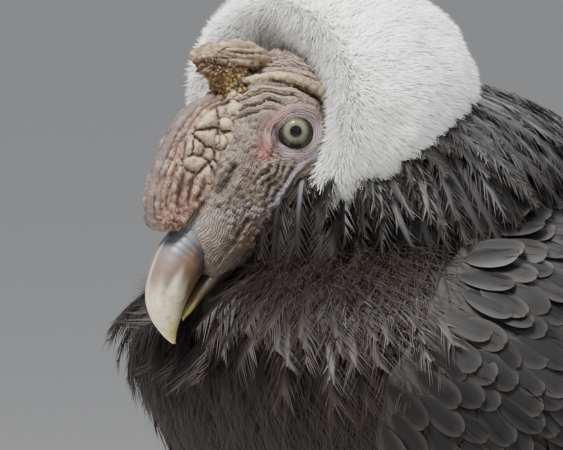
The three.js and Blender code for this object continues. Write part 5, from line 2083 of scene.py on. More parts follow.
def slab(upper: Array, lower: Array) -> Shell:
    """A closed plate between two grids of points, rows by columns.

    Args:
        upper: points of one side.
        lower: points of the other side.

    Returns:
        A closed shell.
    """
    rows, columns = upper.shape[:2]
    ids = np.arange(rows * columns).reshape(rows, columns)
    top = sheet(upper).quads
    rim = np.concatenate([ids[0], ids[1:, -1], ids[-1, -2::-1], ids[-2:0:-1, 0]])
    after, n = np.roll(rim, -1), rows * columns
    walls = np.stack([rim, after, after + n, rim + n], axis=1)
    points = np.concatenate([upper.reshape(-1, 3), lower.reshape(-1, 3)])
    return outward(Shell(points, np.concatenate([top, top[:, ::-1] + n, walls])))


@dataclass(frozen=True)
class Dome:
    """An ellipsoid round the back of the head."""

    y: float
    z: float
    wide: float
    deep: float
    tall: float

    def at(self, back: Array, turn: Array, share: Array) -> Array:
        """Points by degrees from its front, degrees round from its top, and a share of its size.

        Args:
            back: degrees from the front.
            turn: degrees round from the top.
            share: the share of its size.

        Returns:
            Points in the design frame.
        """
        a, b = np.radians(back), np.radians(turn)
        return np.stack(np.broadcast_arrays(
            self.wide * share * np.sin(a) * np.sin(b),
            self.y - self.deep * share * np.cos(a),
            self.z + self.tall * share * np.sin(a) * np.cos(b),
        ), axis=-1)

    def middle(self) -> Array:
        """The point that it lies round."""
        return np.array([0.0, self.y, self.z])


@dataclass
class Ruff:
    """The collar of white down: a soft cowl that thousands of tufts grow from."""

    dome: Dome = Dome(-163, 670, 80, 60, 62)
    split: float = 37
    tufts: int = 160000
    blade: Blade = Blade()
    # degrees from the front, share of the dome's size
    cowl: Stations = Stations(
        (42, 0.52), (45, 0.62), (48, 0.78), (52, 0.91), (56, 0.97), (62, 0.98), (76, 0.96), (100, 0.91),
        (176, 0.88),
    )
    shear: float = 0.13  # how far the rim's left lies behind its right, as a share of its breadth
    rim: float = 46  # degrees from the front where the down starts to lie back
    rim_width: float = 16

    def surface(self, depth: float) -> Array:
        """The cowl's surface, set in by a depth.

        Args:
            depth: how far the surface is set in.

        Returns:
            Rows, columns and three coordinates.
        """
        back = np.concatenate([np.linspace(42, 80, 30), np.linspace(83, 174, 24)])
        turn = np.linspace(-140, 140, 100)
        share = self.cowl.column(back, 1)[:, None]
        grid = self.dome.at(back[:, None], turn[None, :], share)
        wobble = 1.4 * waves(grid.reshape(-1, 3), 22, 101) + 0.8 * waves(grid.reshape(-1, 3), 9, 102)
        way = unit(grid - self.dome.middle())
        turned = grid * [self.shear, 0, 0] * ease((105 - back) / 50)[:, None, None]
        return grid + turned[..., [1, 0, 2]] + way * (wobble.reshape(grid.shape[:2]) - depth)[..., None]

    def build(self) -> None:
        """Makes the cowl and its tufts, in three parts."""
        rng = np.random.default_rng(7)
        outer, dome = self.surface(0), self.dome
        roots = Ground(outer, dome.middle()).scatter(self.tufts, rng)
        apart = (roots.points - dome.middle()) / [dome.wide, dome.deep, dome.tall]
        back = np.degrees(np.arccos(np.clip(-unit(apart)[:, 1], -1, 1)))
        flow = np.array([0, 0.8, -0.3]) + unit(apart * [1, 0, 1]) * 0.1
        leans = 0.3 + 0.65 * ease((back - self.rim) / self.rim_width)[:, None]
        shell, places, soft = self.blade.grow(roots.laid(flow), leans, rng)
        finish = DownFinish().material()
        base = PlainFinish("down_skin", srgb(246, 244, 238), srgb(252, 251, 248), 0.85).material()
        cowl = slab(outer, self.surface(7))
        dress("ruff_skin", cowl, base, ("ruff_left", "ruff_back", "ruff_right"))
        where = np.repeat(roots.points[:, 0], len(shell.points) // self.tufts)
        for word, chosen in (
            ("left", where > self.split), ("right", where < -self.split),
            ("back", np.abs(where) <= self.split),
        ):
            piece, kept = part_of(shell, chosen)
            dress(f"ruff_down_{word}", piece, finish, (f"ruff_{word}",),
                  places[kept], soft[kept])


def part_of(shell: Shell, chosen: Array) -> tuple[Shell, Array]:
    """The triangles of a shell whose points are all chosen, and the numbers of the points kept.

    Args:
        shell: a shell of triangles.
        chosen: whether each point is chosen.

    Returns:
        The part, and the numbers of its points.
    """
    kept = np.flatnonzero(chosen)
    new = np.full(len(shell.points), -1)
    new[kept] = np.arange(len(kept))
    tris = new[shell.tris]
    layers = {name: values[kept] for name, values in shell.layers.items()}
    return Shell(shell.points[kept], tris=tris[(tris >= 0).all(axis=1)], layers=layers), kept


# Body


@dataclass
class Body:
    """The trunk and thighs: a dark skin under overlapping feathers."""

    spacing: float = 8.5
    neck_top: tuple[float, float, float] = (0, -176, 655)
    wing_overlap: float = 7  # degrees inside a wing's upper edge that the body's feathers still fill
    # distance along the spine, top, bottom, half width, squareness
    torso: Stations = Stations(
        (-16, -33, -49, 38, 2), (-13, -23, -59, 64, 2.1), (-5, -9, -73, 90, 2.3), (8, 12, -86, 108, 2.4),
        (30, 46, -101, 121, 2.4), (73, 84, -121, 121, 2.25), (110, 94, -133, 122, 2), (150, 97, -144, 120, 2),
        (200, 94, -149, 114, 2), (260, 82, -140, 102, 2), (318, 66, -116, 82, 2), (364, 44, -78, 58, 2),
        (400, 18, -44, 32, 2),
    )
    collar: Dome = Dome(-128, 632, 95, 64, 52)
    # share of the way down, y, z, half width, half depth
    shank: Stations = Stations(
        (0, -60, 430, 26, 30), (0.12, -76, 400, 40, 48), (0.32, -82, 345, 43, 55), (0.6, -58, 262, 33, 40),
        (0.85, -26, 180, 20, 23), (1, -8, 142, 13, 14),
    )

    def trunk(self, margin: float, steps: int, sides: int) -> Array:
        """Rings over the trunk.

        Args:
            margin: how far the rings stand off.
            steps: how many rings.
            sides: how many points on a ring.

        Returns:
            Rings, points on a ring and three coordinates.
        """
        s = np.linspace(-16, 400, steps)
        turn = np.linspace(0, 2 * math.pi, sides)
        up, aside = hoop(self.torso.at(s)[:, 1:], turn, margin)
        return PLAN.spine(s[:, None], up, aside)

    def thigh(self, side: int, margin: float, steps: int, sides: int) -> Array:
        """Rings over one thigh and shank."""
        turn = np.linspace(0, 2 * math.pi, sides)
        return sleeve(self.shank.at(np.linspace(0, 1, steps)), turn, -0.35, side * PLAN.stance, margin)

    def nape(self, steps: int, sides: int) -> Array:
        """The lower neck, where the body's feathers start.

        Args:
            steps: how many rings.
            sides: how many points on a ring.

        Returns:
            Rings, points on a ring and three coordinates.
        """
        head = Head()
        turn = np.linspace(0, 2 * math.pi, sides)
        return sleeve(head.neck.at(np.linspace(0.28, 1, steps)), turn, head.neck_lean)

    def mantle(self) -> Array:
        """Rings over the collar of hackles behind the ruff."""
        back, turn = np.linspace(30, 150, 60), np.linspace(-115, 115, 100)
        return self.collar.at(back[:, None], turn[None, :], 0.93)

    def collar_ball(self) -> Array:
        """The collar's whole dome, a little smaller than the mantle."""
        back, turn = np.linspace(8, 172, 40), np.linspace(0, 360, 61)[:-1]
        return self.collar.at(back[:, None], turn[None, :], 0.86)

    def skin(self) -> None:
        """Makes the dark skin of the trunk, and of each thigh."""
        finish = PlainFinish(
            "feather_bases", srgb(20, 16, 14), srgb(34, 28, 25), 0.9, 0.006, 0.001).material()
        base = one_skin([loft(self.trunk(-12, 70, 97)[:, :-1]), loft(self.collar_ball())], 4.0)
        dress("trunk_skin", base, finish, ("torso",))
        for side, word in SIDES:
            leg = loft(self.thigh(side, -4, 50, 49)[:, :-1])
            dress(f"thigh_skin_{word}", leg, finish, (f"thigh_{word}",))

    def clear_of_wing(self, roots: Roots) -> Array:
        """Which roots lie outside the folded wings.

        Args:
            roots: roots on the body.

        Returns:
            True for each root that lies outside.
        """
        s, degrees = WING.place_of(roots.points)
        row = WING.sheet.at(s)
        upper, lower = row[:, 4] + self.wing_overlap, row[:, 5] - self.wing_overlap * 1.2
        return ~((s > 62) & (degrees > upper) & (degrees < lower))

    def clear_of_bill(self, roots: Roots, length: float) -> Roots:
        """The roots whose feathers don't reach the bill.

        Args:
            roots: roots on the body, with their lie.
            length: how long their feathers are.

        Returns:
            The roots that are kept.
        """
        line = PLAN.head(np.array([(58, -24, 0), (70, -28, 0), (82, -34, 0), (90, -42, 0), (96, -50, 0)]))
        gap = np.full(len(roots.points), 99.0)
        for share in (0.25, 0.6, 1.0):
            reach = roots.points + roots.ahead * length * share + roots.out * 5
            gap = np.minimum(gap, from_path(reach, line))
        return roots.pick(gap > 15)

    def from_neck(self, points: Array, narrow: float = 1.0) -> Array:
        """Distance from the top of the neck, with places at its sides brought nearer."""
        return np.linalg.norm((points - np.array(self.neck_top)) * [narrow, 1, 1], axis=1)

    def growth(self, points: Array) -> Array:
        """How large the feathers are, from 0 by the neck to 1 far from it."""
        return ease((self.from_neck(points) - 40) / 170)

    def trunk_coat(self, finish: Material, rng: Rng) -> None:
        """Makes the feathers of the breast and the trunk.

        Args:
            finish: the feathers' material.
            rng: the source of random draws.
        """
        roots = on_rings(self.trunk(-9, 120, 121), 30000, rng)
        roots = roots.pick((self.from_neck(roots.points, 0.9) > 50) & self.clear_of_wing(roots))
        roots = roots.thinned(self.spacing * (0.62 + 0.38 * self.growth(roots.points)))
        roots = self.clear_of_bill(roots.laid_by(lie_of_coat), 40)
        front = roots.points[:, 1] < -100
        for word, chosen in (("breast", front), ("trunk", ~front)):
            some = roots.pick(chosen)
            size, upper = self.growth(some.points), ease((98 - self.from_neck(some.points)) / 40)
            planting = Planting(36 + 12 * size, 15 + 6 * size, 0.1 + 0.1 * upper, 0.5 + 0.25 * upper)
            grow_coat(f"feathers_{word}", Vane(), some, planting, finish, "torso", rng)

    def barbs(self, finish: Material, rng: Rng) -> None:
        """Makes the loose barbs that stand over the trunk's feathers.

        Args:
            finish: the feathers' material.
            rng: the source of random draws.
        """
        roots = on_rings(self.trunk(-4, 120, 121), 70000, rng)
        roots = roots.pick((self.from_neck(roots.points, 0.9) > 56) & self.clear_of_wing(roots))
        roots = self.clear_of_bill(roots.laid_by(lie_of_coat), 22)
        shell, places = filaments(roots, 20, 0.5, 3.0, rng)
        dress("loose_barbs", shell, finish, ("torso",), places)

    def thigh_coats(self, finish: Material, rng: Rng) -> None:
        """Makes the feathers of both thighs.

        Args:
            finish: the feathers' material.
            rng: the source of random draws.
        """
        for side, word in SIDES:
            roots = on_rings(self.thigh(side, -2, 80, 81), 6000, rng).thinned(8.0).laid((0, 0.25, -1.0))
            planting = Planting(34, 15, 0.2, 0.4)
            grow_coat(f"feathers_thigh_{word}", Vane(), roots, planting, finish, f"thigh_{word}", rng)

    def hackles(self, finish: Material, rng: Rng) -> None:
        """Makes the long narrow feathers that drape from behind the ruff.

        Args:
            finish: the feathers' material.
            rng: the source of random draws.
        """
        roots = Ground(self.mantle(), self.collar.middle()).scatter(9000, rng).thinned(5.4)
        flow = np.array([0, 0.32, -1.0]) + np.sign(roots.points[:, :1]) * [0.25, 0, 0]
        form = Vane(barbs=26, loose=0.74, taper=0.9, sweep=2.3, fullest=0.3, ragged=0.3)
        planting = Planting(58, 13, 0.16, 0.6, unruly=0.14)
        grow_coat("hackle_feathers", form, roots.laid(flow), planting, finish, "torso", rng)

    def neck_coat(self, finish: Material, rng: Rng) -> None:
        """Makes the feathers round the foot of the neck.

        Args:
            finish: the feathers' material.
            rng: the source of random draws.
        """
        roots = on_rings(self.nape(60, 81), 6000, rng).thinned(4.6).laid((0, -0.1, -1.0))
        planting = Planting(54, 14, 0.85, 0.95)
        grow_coat("feathers_neck", Vane(loose=0.85), roots, planting, finish, "neck", rng)

    def build(self) -> None:
        """Makes the skins and every coat of feathers."""
        rng = np.random.default_rng(19)
        self.skin()
        finish = PlumageFinish("body_feathers", srgb(22, 17, 15), srgb(68, 55, 46), 0.6).material()
        hackle = PlumageFinish("hackles", srgb(13, 11, 11), srgb(50, 43, 39), 0.5, 0.52, 0.2).material()
        self.trunk_coat(finish, rng)
        self.barbs(finish, rng)
        self.thigh_coats(finish, rng)
        self.hackles(hackle, rng)
        self.neck_coat(finish, rng)


# Wings and tail


@dataclass(frozen=True)
class Tier:
    """A row of long feathers: how wide they are along the wing, where they end and how far they lift."""

    bends: tuple
    tips: tuple
    lift: float
    count: int
    width: float
    pale: float = 0.0  # how much of each feather is silver


@dataclass
class Wing:
    """A folded wing: a smooth front of small coverts over tiers of long feathers."""

    tilt: float = 0.12
    plate: float = 35
    # distance along the spine, middle, half height, half width, degrees of both edges
    sheet: Stations = Stations(
        (22, -34, 88, 118, 66, 104), (42, -28, 101, 123, 36, 120), (70, -24, 114, 127, 22, 124),
        (110, -22, 123, 129, 15, 118), (150, -22, 125, 128, 12, 112), (200, -23, 123, 123, 10, 106),
        (250, -25, 116, 115, 10, 103), (300, -27, 106, 106, 11, 102), (350, -29, 91, 98, 13, 101),
        (400, -34, 82, 91, 17, 98), (500, -52, 82, 82, 33, 90), (620, -60, 88, 76, 53, 87),
        (740, -62, 90, 68, 68, 88), (782, -63, 92, 67, 72, 88),
    )
    # distance along the spine, thickness
    front: Stations = Stations((22, 3), (42, 9), (64, 15), (86, 18.4), (106, 18.4))
    tiers: tuple = (
        Tier(((94, 0.24), (300, 0.24), (450, 0.3), (552, 1), (680, 1)),
             (720, 754, 776, 782, 766, 732), 0.7, 9, 34),
        Tier(((94, 0.24), (270, 0.3), (335, 1), (440, 1)),
             (538, 535, 528, 518, 506, 493, 480), 5.2, 15, 32, 0.85),
        Tier(((94, 0.24), (150, 0.3), (210, 1), (275, 1)),
             (340, 338, 334, 328, 320, 311, 302), 9.8, 15, 30, 1.0),
        Tier(((94, 0.8), (150, 1)), (216, 215, 212, 207, 201, 195, 189), 13.8, 14, 27, 0.12),
    )
    scapulars: Tier = Tier(((94, 0.7), (210, 1), (275, 1)), (404, 352, 306), 17, 6, 32)

    def per_degree(self, s: Array, degrees: Array) -> Array:
        """Millimetres round the sheet for each degree.

        Args:
            s: distances along the spine.
            degrees: degrees round from the ridge.

        Returns:
            The millimetres at each place.
        """
        turn = np.radians(degrees)
        row = self.sheet.at(s)
        return np.radians(np.hypot(row[..., 2] * np.sin(turn), row[..., 3] * np.cos(turn)))

    def place(self, s: Array, degrees: Array, lift: Array, side: int) -> Array:
        """A point by its distance along the spine, degrees from the ridge, and lift off the sheet.

        Args:
            s: distances along the spine.
            degrees: degrees round from the ridge.
            lift: how far off the sheet.
            side: 1 for the left wing, -1 for the right.

        Returns:
            Points in the design frame.
        """
        turn = np.radians(degrees)
        row = self.sheet.at(s)
        up = row[..., 1] + (row[..., 2] + lift) * np.cos(turn)
        return PLAN.spine(s, up, side * (row[..., 3] + lift) * np.sin(turn))

    def place_of(self, points: Array) -> tuple[Array, Array]:
        """Distance along the spine and degrees round from the back's ridge, for design points.

        Args:
            points: points in the design frame.

        Returns:
            The distances, and the degrees.
        """
        y, z = points[:, 1] - PLAN.spine_front[0], points[:, 2] - PLAN.spine_front[1]
        c, k = math.cos(PLAN.spine_pitch), math.sin(PLAN.spine_pitch)
        s, up = y * c - z * k, y * k + z * c
        row = self.sheet.at(s)
        aside = np.abs(points[:, 0]) / row[:, 3]
        return s, np.degrees(np.arctan2(aside, (up - row[:, 1]) / row[:, 2]))

    def step_at(self, s: Array) -> Array:
        """How much higher each of seven feathers lies than the next one down.

        Args:
            s: distances along the spine.

        Returns:
            The height at each distance.
        """
        row = self.sheet.at(s)
        apart = np.maximum(0, ((row[..., 5] - row[..., 4]) * self.per_degree(s, 70) - self.plate) / 6)
        return np.maximum(0, 2 + 0.6 * np.minimum(1, apart / 12) - self.tilt * apart)

    def tier(self, tier: Tier, side: int, rng: Rng) -> list[tuple[Shell, Array]]:
        """One tier of feathers, each over the edge of the next one down.

        Args:
            tier: the tier's measures.
            side: 1 for the left wing, -1 for the right.
            rng: the source of random draws.

        Returns:
            Each feather, with its places on the bake map.
        """
        made = []
        at_tips = np.linspace(0, len(tier.tips) - 1, tier.count)
        tips = np.interp(at_tips, range(len(tier.tips)), tier.tips)
        for k in range(tier.count):
            share = k / (tier.count - 1)

            def spot(s: Array, across: Array, off: Array, share: float = share) -> Array:
                """A point of this feather.

                Args:
                    s: distances along the spine.
                    across: distance from the shaft.
                    off: distance off the feather.
                    share: the feather's place between the wing's edges.

                Returns:
                    Points in the design frame.
                """
                half = self.plate / 2 / self.per_degree(s, 70)
                row = self.sheet.at(s)
                top, low = row[..., 4] + half, row[..., 5] - half
                centre = np.where(top < low, lerp(top, low, share), (top + low) / 2)
                rise = tier.lift + 6 * (1 - share) * self.step_at(s) + self.tilt * across
                return self.place(s, centre + across / self.per_degree(s, centre), rise + off, side)

            made.append(quill(spot, tier, tips[k], rng, (share, 0.2 + 0.1 * tier.pale)))
        return made

    def shoulder(self, side: int, rng: Rng) -> list[tuple[Shell, Array]]:
        """The scapulars along the back.

        Args:
            side: 1 for the left wing, -1 for the right.
            rng: the source of random draws.

        Returns:
            Each feather, with its places on the bake map.
        """
        made = []
        tier = self.scapulars
        tips = np.interp(np.linspace(0, 2, tier.count), range(3), tier.tips)
        for k in range(tier.count):
            def spot(s: Array, across: Array, off: Array, k: float = 2 * k / (tier.count - 1)) -> Array:
                """A point of this feather.

                Args:
                    s: distances along the spine.
                    across: distance from the shaft.
                    off: distance off the feather.
                    k: the feather's place in the row, from 0 to 2.

                Returns:
                    Points in the design frame.
                """
                edge = self.sheet.at(s)[..., 4]
                centre = edge + (self.plate / 2 - 2 + 5 * k) / self.per_degree(s, edge + 12)
                rise = tier.lift + 6 * self.step_at(s) + 2.3 * k + self.tilt * across
                return self.place(s, centre + across / self.per_degree(s, centre), rise + off, side)

            made.append(quill(spot, tier, tips[k], rng, (k / 6, 0.7)))
        return made

    def over_front(
        self, s: Array, j: Array, side: int, share: float, base: float, extra: Array | float = 0.0
    ) -> Array:
        """A sheet over the wing's front.

        Args:
            s: distances along the spine, one a row.
            j: places from the upper edge, 0, to the lower edge, 8.
            side: 1 for the left wing and -1 for the right.
            share: how much of the front's thickness is under the sheet.
            base: height over that.
            extra: more height, by the distance along the spine.

        Returns:
            Rows and columns of points.
        """
        row = self.sheet.at(s)
        s, j = s[:, None], j[None, :]
        thick = np.interp(s, self.front.keys, self.front.rows[:, 1])
        bulge = thick * (0.1 + 0.9 * np.sqrt(np.clip(1 - (2 * j / 8 - 1) ** 6, 0, 1)))
        ridge = 7.5 * np.clip((s - 50) / 30, 0, 1) * np.clip(1.6 - j / 2, 0, 1)
        degrees = row[:, 4, None] + (row[:, 5] - row[:, 4])[:, None] * j / 8
        lift = (bulge + ridge) * share + base + extra
        return self.place(np.broadcast_to(s, bulge.shape), degrees, lift, side)

    def front_slab(self, side: int) -> Shell:
        """The smooth front of the wing."""
        s, j = np.linspace(22, 128, 60), np.linspace(0, 8, 70)
        return slab(self.over_front(s, j, side, 1, -2.5), self.over_front(s, j, side, 0, -2.0))

    def cover_grid(self, side: int) -> Array:
        """The sheet that the lesser coverts grow from, over the front and the upper tiers."""
        s, j = np.linspace(24, 176, 80), np.linspace(0.15, 7.8, 70)
        return self.over_front(s, j, side, 1, -1.2, 3.0 * ease((s - 106) / 60)[:, None])

    def build(self) -> None:
        """Makes both wings."""
        long_finish = PaintedPlumageFinish("flight_feathers", 0.55).material()
        small_finish = PlumageFinish(
            "wing_coverts", srgb(15, 14, 15), srgb(60, 55, 52), 0.6, 0.5, 0.25, 0.14).material()
        base = PlainFinish("wing_base", srgb(30, 28, 29), srgb(44, 41, 41), 0.8).material()
        form = Vane(barbs=2, web_steps=12, loose=0.02, fullest=0.5, taper=0.62, sweep=0.35, camber=0.2,
                    ragged=0.0, thick=0.2)
        for side, word in SIDES:
            node = f"wing_{word}"
            rng = np.random.default_rng(31)
            dress(f"wing_front_{word}", self.front_slab(side), base, (node,))
            rows = [self.tier(tier, side, rng) for tier in self.tiers]
            rows.append(self.shoulder(side, rng))
            dress_quills(f"wing_flight_{word}", rows[0] + rows[1], long_finish, node)
            dress_quills(f"wing_cover_{word}", rows[2] + rows[3] + rows[4], long_finish, node)
            roots = Ground(self.cover_grid(side), np.array([0.0, -60.0, 480.0])).scatter(8000, rng)
            roots = roots.thinned(8.0).laid(TAILWARD + [0.0, 0, -0.12])
            size = ease((self.place_of(roots.points)[0] - 30) / 130)
            planting = Planting(24 + 14 * size, 13 + 6 * size, 0.12, 0.16, roll=0.09)
            grow_coat(f"wing_coverts_{word}", form, roots, planting, small_finish, node, rng)


def doubled(values: Array) -> Array:
    """Values on a grid, for the top and the bottom of a slab."""
    return np.concatenate([values.reshape(-1, *values.shape[2:])] * 2)


def dress_quills(name: str, quills: list[tuple[Shell, Array]], finish: Material, node: str) -> None:
    """Joins long feathers and settles them as one piece."""
    places = np.concatenate([place for _, place in quills])
    dress(name, joined([shell for shell, _ in quills]), finish, (node,), places)


def quill(spot: Callable, tier: Tier, tip: float, rng: Rng, patch: tuple) -> tuple[Shell, Array]:
    """A long feather with a shaft, laid by a function of its own places.

    Args:
        spot: gives a point by the place along the feather, across it and up from it.
        tier: its widths along the way.
        tip: where it ends.
        rng: seeded random numbers.
        patch: where its patch lies on the bake map.

    Returns:
        The closed feather, and each point's place on the bake map.
    """
    start = tier.bends[0][0]
    end, rounding = 20, 24  # where the rows lie closer, and where the outline rounds off
    shaft_half, shaft_rise = 0.9, 0.7
    rounded = np.cos(np.linspace(0.08, 1, 11) * math.pi / 2)
    s = np.concatenate([np.linspace(start, tip - end, 32), tip - end * rounded])
    s[-1] = tip - 0.2
    keys, shares = zip(*tier.bends)
    point = np.sqrt(np.clip(1 - ((s - tip + rounding) / rounding).clip(0, 1) ** 2.4, 0.02, 1))
    share = np.interp(s, keys, shares) * point
    across = np.array([-1, -0.82, -0.5, -0.2, -0.05, 0, 0.05, 0.2, 0.5, 0.82, 1])
    half = tier.width / 2 * share[:, None] * across[None, :]
    ragged = 1 + 0.02 * rng.uniform(-1, 1, (len(s), 1)) * np.abs(across)
    half = half * ragged
    shaft = shaft_rise * np.exp(-((half / shaft_half) ** 2))
    wave = 0.25 * np.sin(s[:, None] / 37 + 4 * rng.random()) * across[None, :]
    deep = np.broadcast_to(s[:, None], half.shape)
    top = spot(deep, half, 0.75 + shaft + wave)
    low = spot(deep, half, 0.15 + wave)
    shell = slab(top, low)
    run = deep + 1.1 * np.abs(half)
    tone = rng.random()
    edge = np.abs(across)[None, :] * np.ones_like(half)
    near_tip = ease((s - tip + 46) / 30)[:, None]
    outer = ease((across[None, :] + 0.1) / 0.3)
    silver = tier.pale * outer * (1 - near_tip) * np.ones_like(half)
    paint = over(srgb(15, 14, 15), srgb(30, 28, 29), edge**3)
    paint = over(paint, srgb(196, 194, 190), silver)
    paint = over(paint, srgb(14, 13, 14), np.exp(-((half / 0.8) ** 2)) * 0.7)
    shell.layers = {"paint": doubled(paint), "run": doubled(run), "tone": np.full(len(shell.points), tone)}
    u = (across[None, :] / 2) * PATCH * np.ones_like(half)
    v = ((deep - start) / (tip - start) - 0.5) * PATCH
    return shell, doubled(np.stack([patch[0] * 0.9 + 0.05 + u, patch[1] + v], axis=-1))


WING = Wing()


@dataclass
class Tail:
    """Twelve long feathers stacked from the middle out, under a row of coverts."""

    root: tuple[float, float] = (92, 372)
    pitch: float = math.radians(40)
    length: float = 370
    layer: float = 1.85

    def place(self, along: Array, across: Array, up: Array) -> Array:
        """A point by its distance along the tail, across it and up from it.

        Args:
            along: distance from the tail's root.
            across: distance to its left.
            up: distance above it.

        Returns:
            Points in the design frame.
        """
        c, s = math.cos(self.pitch), math.sin(self.pitch)
        lift = up - across**2 / 420
        y, z = self.root
        y, z = self.root[0] + along * c + lift * s, self.root[1] - along * s + lift * c
        return np.stack(np.broadcast_arrays(across, y, z), axis=-1)

    def quills(self, rng: Rng) -> list[tuple[Shell, Array]]:
        """The twelve long feathers, then the nine over their roots.

        Args:
            rng: the source of random draws.

        Returns:
            Each feather, with its places on the bake map.
        """
        made = []
        for k in range(6):
            for side in (1, -1):
                level = 2 * k + (0 if side > 0 else 1) if k < 3 else k + 3
                tip = self.length - 2.2 * k * k

                def spot(s: Array, across: Array, off: Array, k: int = k, side: int = side,
                         level: int = level) -> Array:
                    """A point of this feather."""
                    apart = lerp(4.2, 7.2, s / self.length)
                    return self.place(s, side * (k + 0.5) * apart + across, 7 - self.layer * level + off)

                tier = Tier(((30, 0.5), (112, 0.8), (240, 1), (tip - 24, 0.95)), (tip,), 0, 1, 40)
                made.append(quill(spot, tier, tip, rng, (k / 6, 0.3 + 0.2 * side)))
        for k in range(9):
            middle = (k - 4) / 2
            reach = 212 - 14 * abs(middle)

            def cover(s: Array, across: Array, off: Array, middle: float = middle) -> Array:
                """A point of this covert."""
                return self.place(s, middle * 13 + across, 12.4 - 1.9 * abs(middle) + off)

            tier = Tier(((30, 0.6), (112, 0.8), (reach - 18, 1)), (reach,), 0, 1, 24)
            made.append(quill(cover, tier, reach, rng, (k / 9, 0.8)))
        return made

    def core(self, turn: Array, margin: float) -> Array:
        """Rings over the fleshy root of the tail.

        Args:
            turn: angles round a ring.
            margin: how far the rings stand off.

        Returns:
            Rings, points on a ring and three coordinates.
        """
        length = np.linspace(0, 118, 24)[:, None]
        half = lerp(33, 40, length / 125) + margin
        thick = np.sign(np.cos(turn)) * np.abs(np.cos(turn)) ** 0.4
        return self.place(length, half * np.sin(turn), (np.where(np.cos(turn) > 0, 11, 9) + margin) * thick)

    def build(self) -> None:
        """Makes the tail."""
        rng = np.random.default_rng(43)
        quills = self.quills(rng)
        dress_quills("tail_quills", quills, PaintedPlumageFinish("tail_feathers", 0.55).material(), "tail")
        base = PlainFinish("tail_base", srgb(24, 22, 22), srgb(38, 34, 33), 0.8).material()
        dress("tail_core", loft(self.core(circle(48), 0)), base, ("tail",))
        small = PlumageFinish("tail_down", srgb(30, 27, 27), srgb(60, 54, 50), 0.4).material()
        roots = on_rings(self.core(np.append(circle(48), 2 * math.pi), 1), 1600, rng).thinned(10)
        roots = roots.laid((0, math.cos(self.pitch), -math.sin(self.pitch)))
        planting = Planting(34, 16, 0.12, 0.15)
        grow_coat("tail_small_coverts", Vane(barbs=10), roots, planting, small, "tail", rng)


# Legs


@dataclass(frozen=True)
class Toe:
    """One toe: its name, degrees from straight ahead, length, radius at its root and claw length."""

    name: str
    turn: float
    length: float
    root: float
    claw: float

    def radius(self, t: Array) -> Array:
        """Radius at a share of the length."""
        return self.root * (1 - 0.36 * t)

    def way(self, side: int) -> Array:
        """The way that it points along the ground."""
        angle = math.radians(self.turn + 8)
        return np.array([side * math.sin(angle), -math.cos(angle), 0.0])


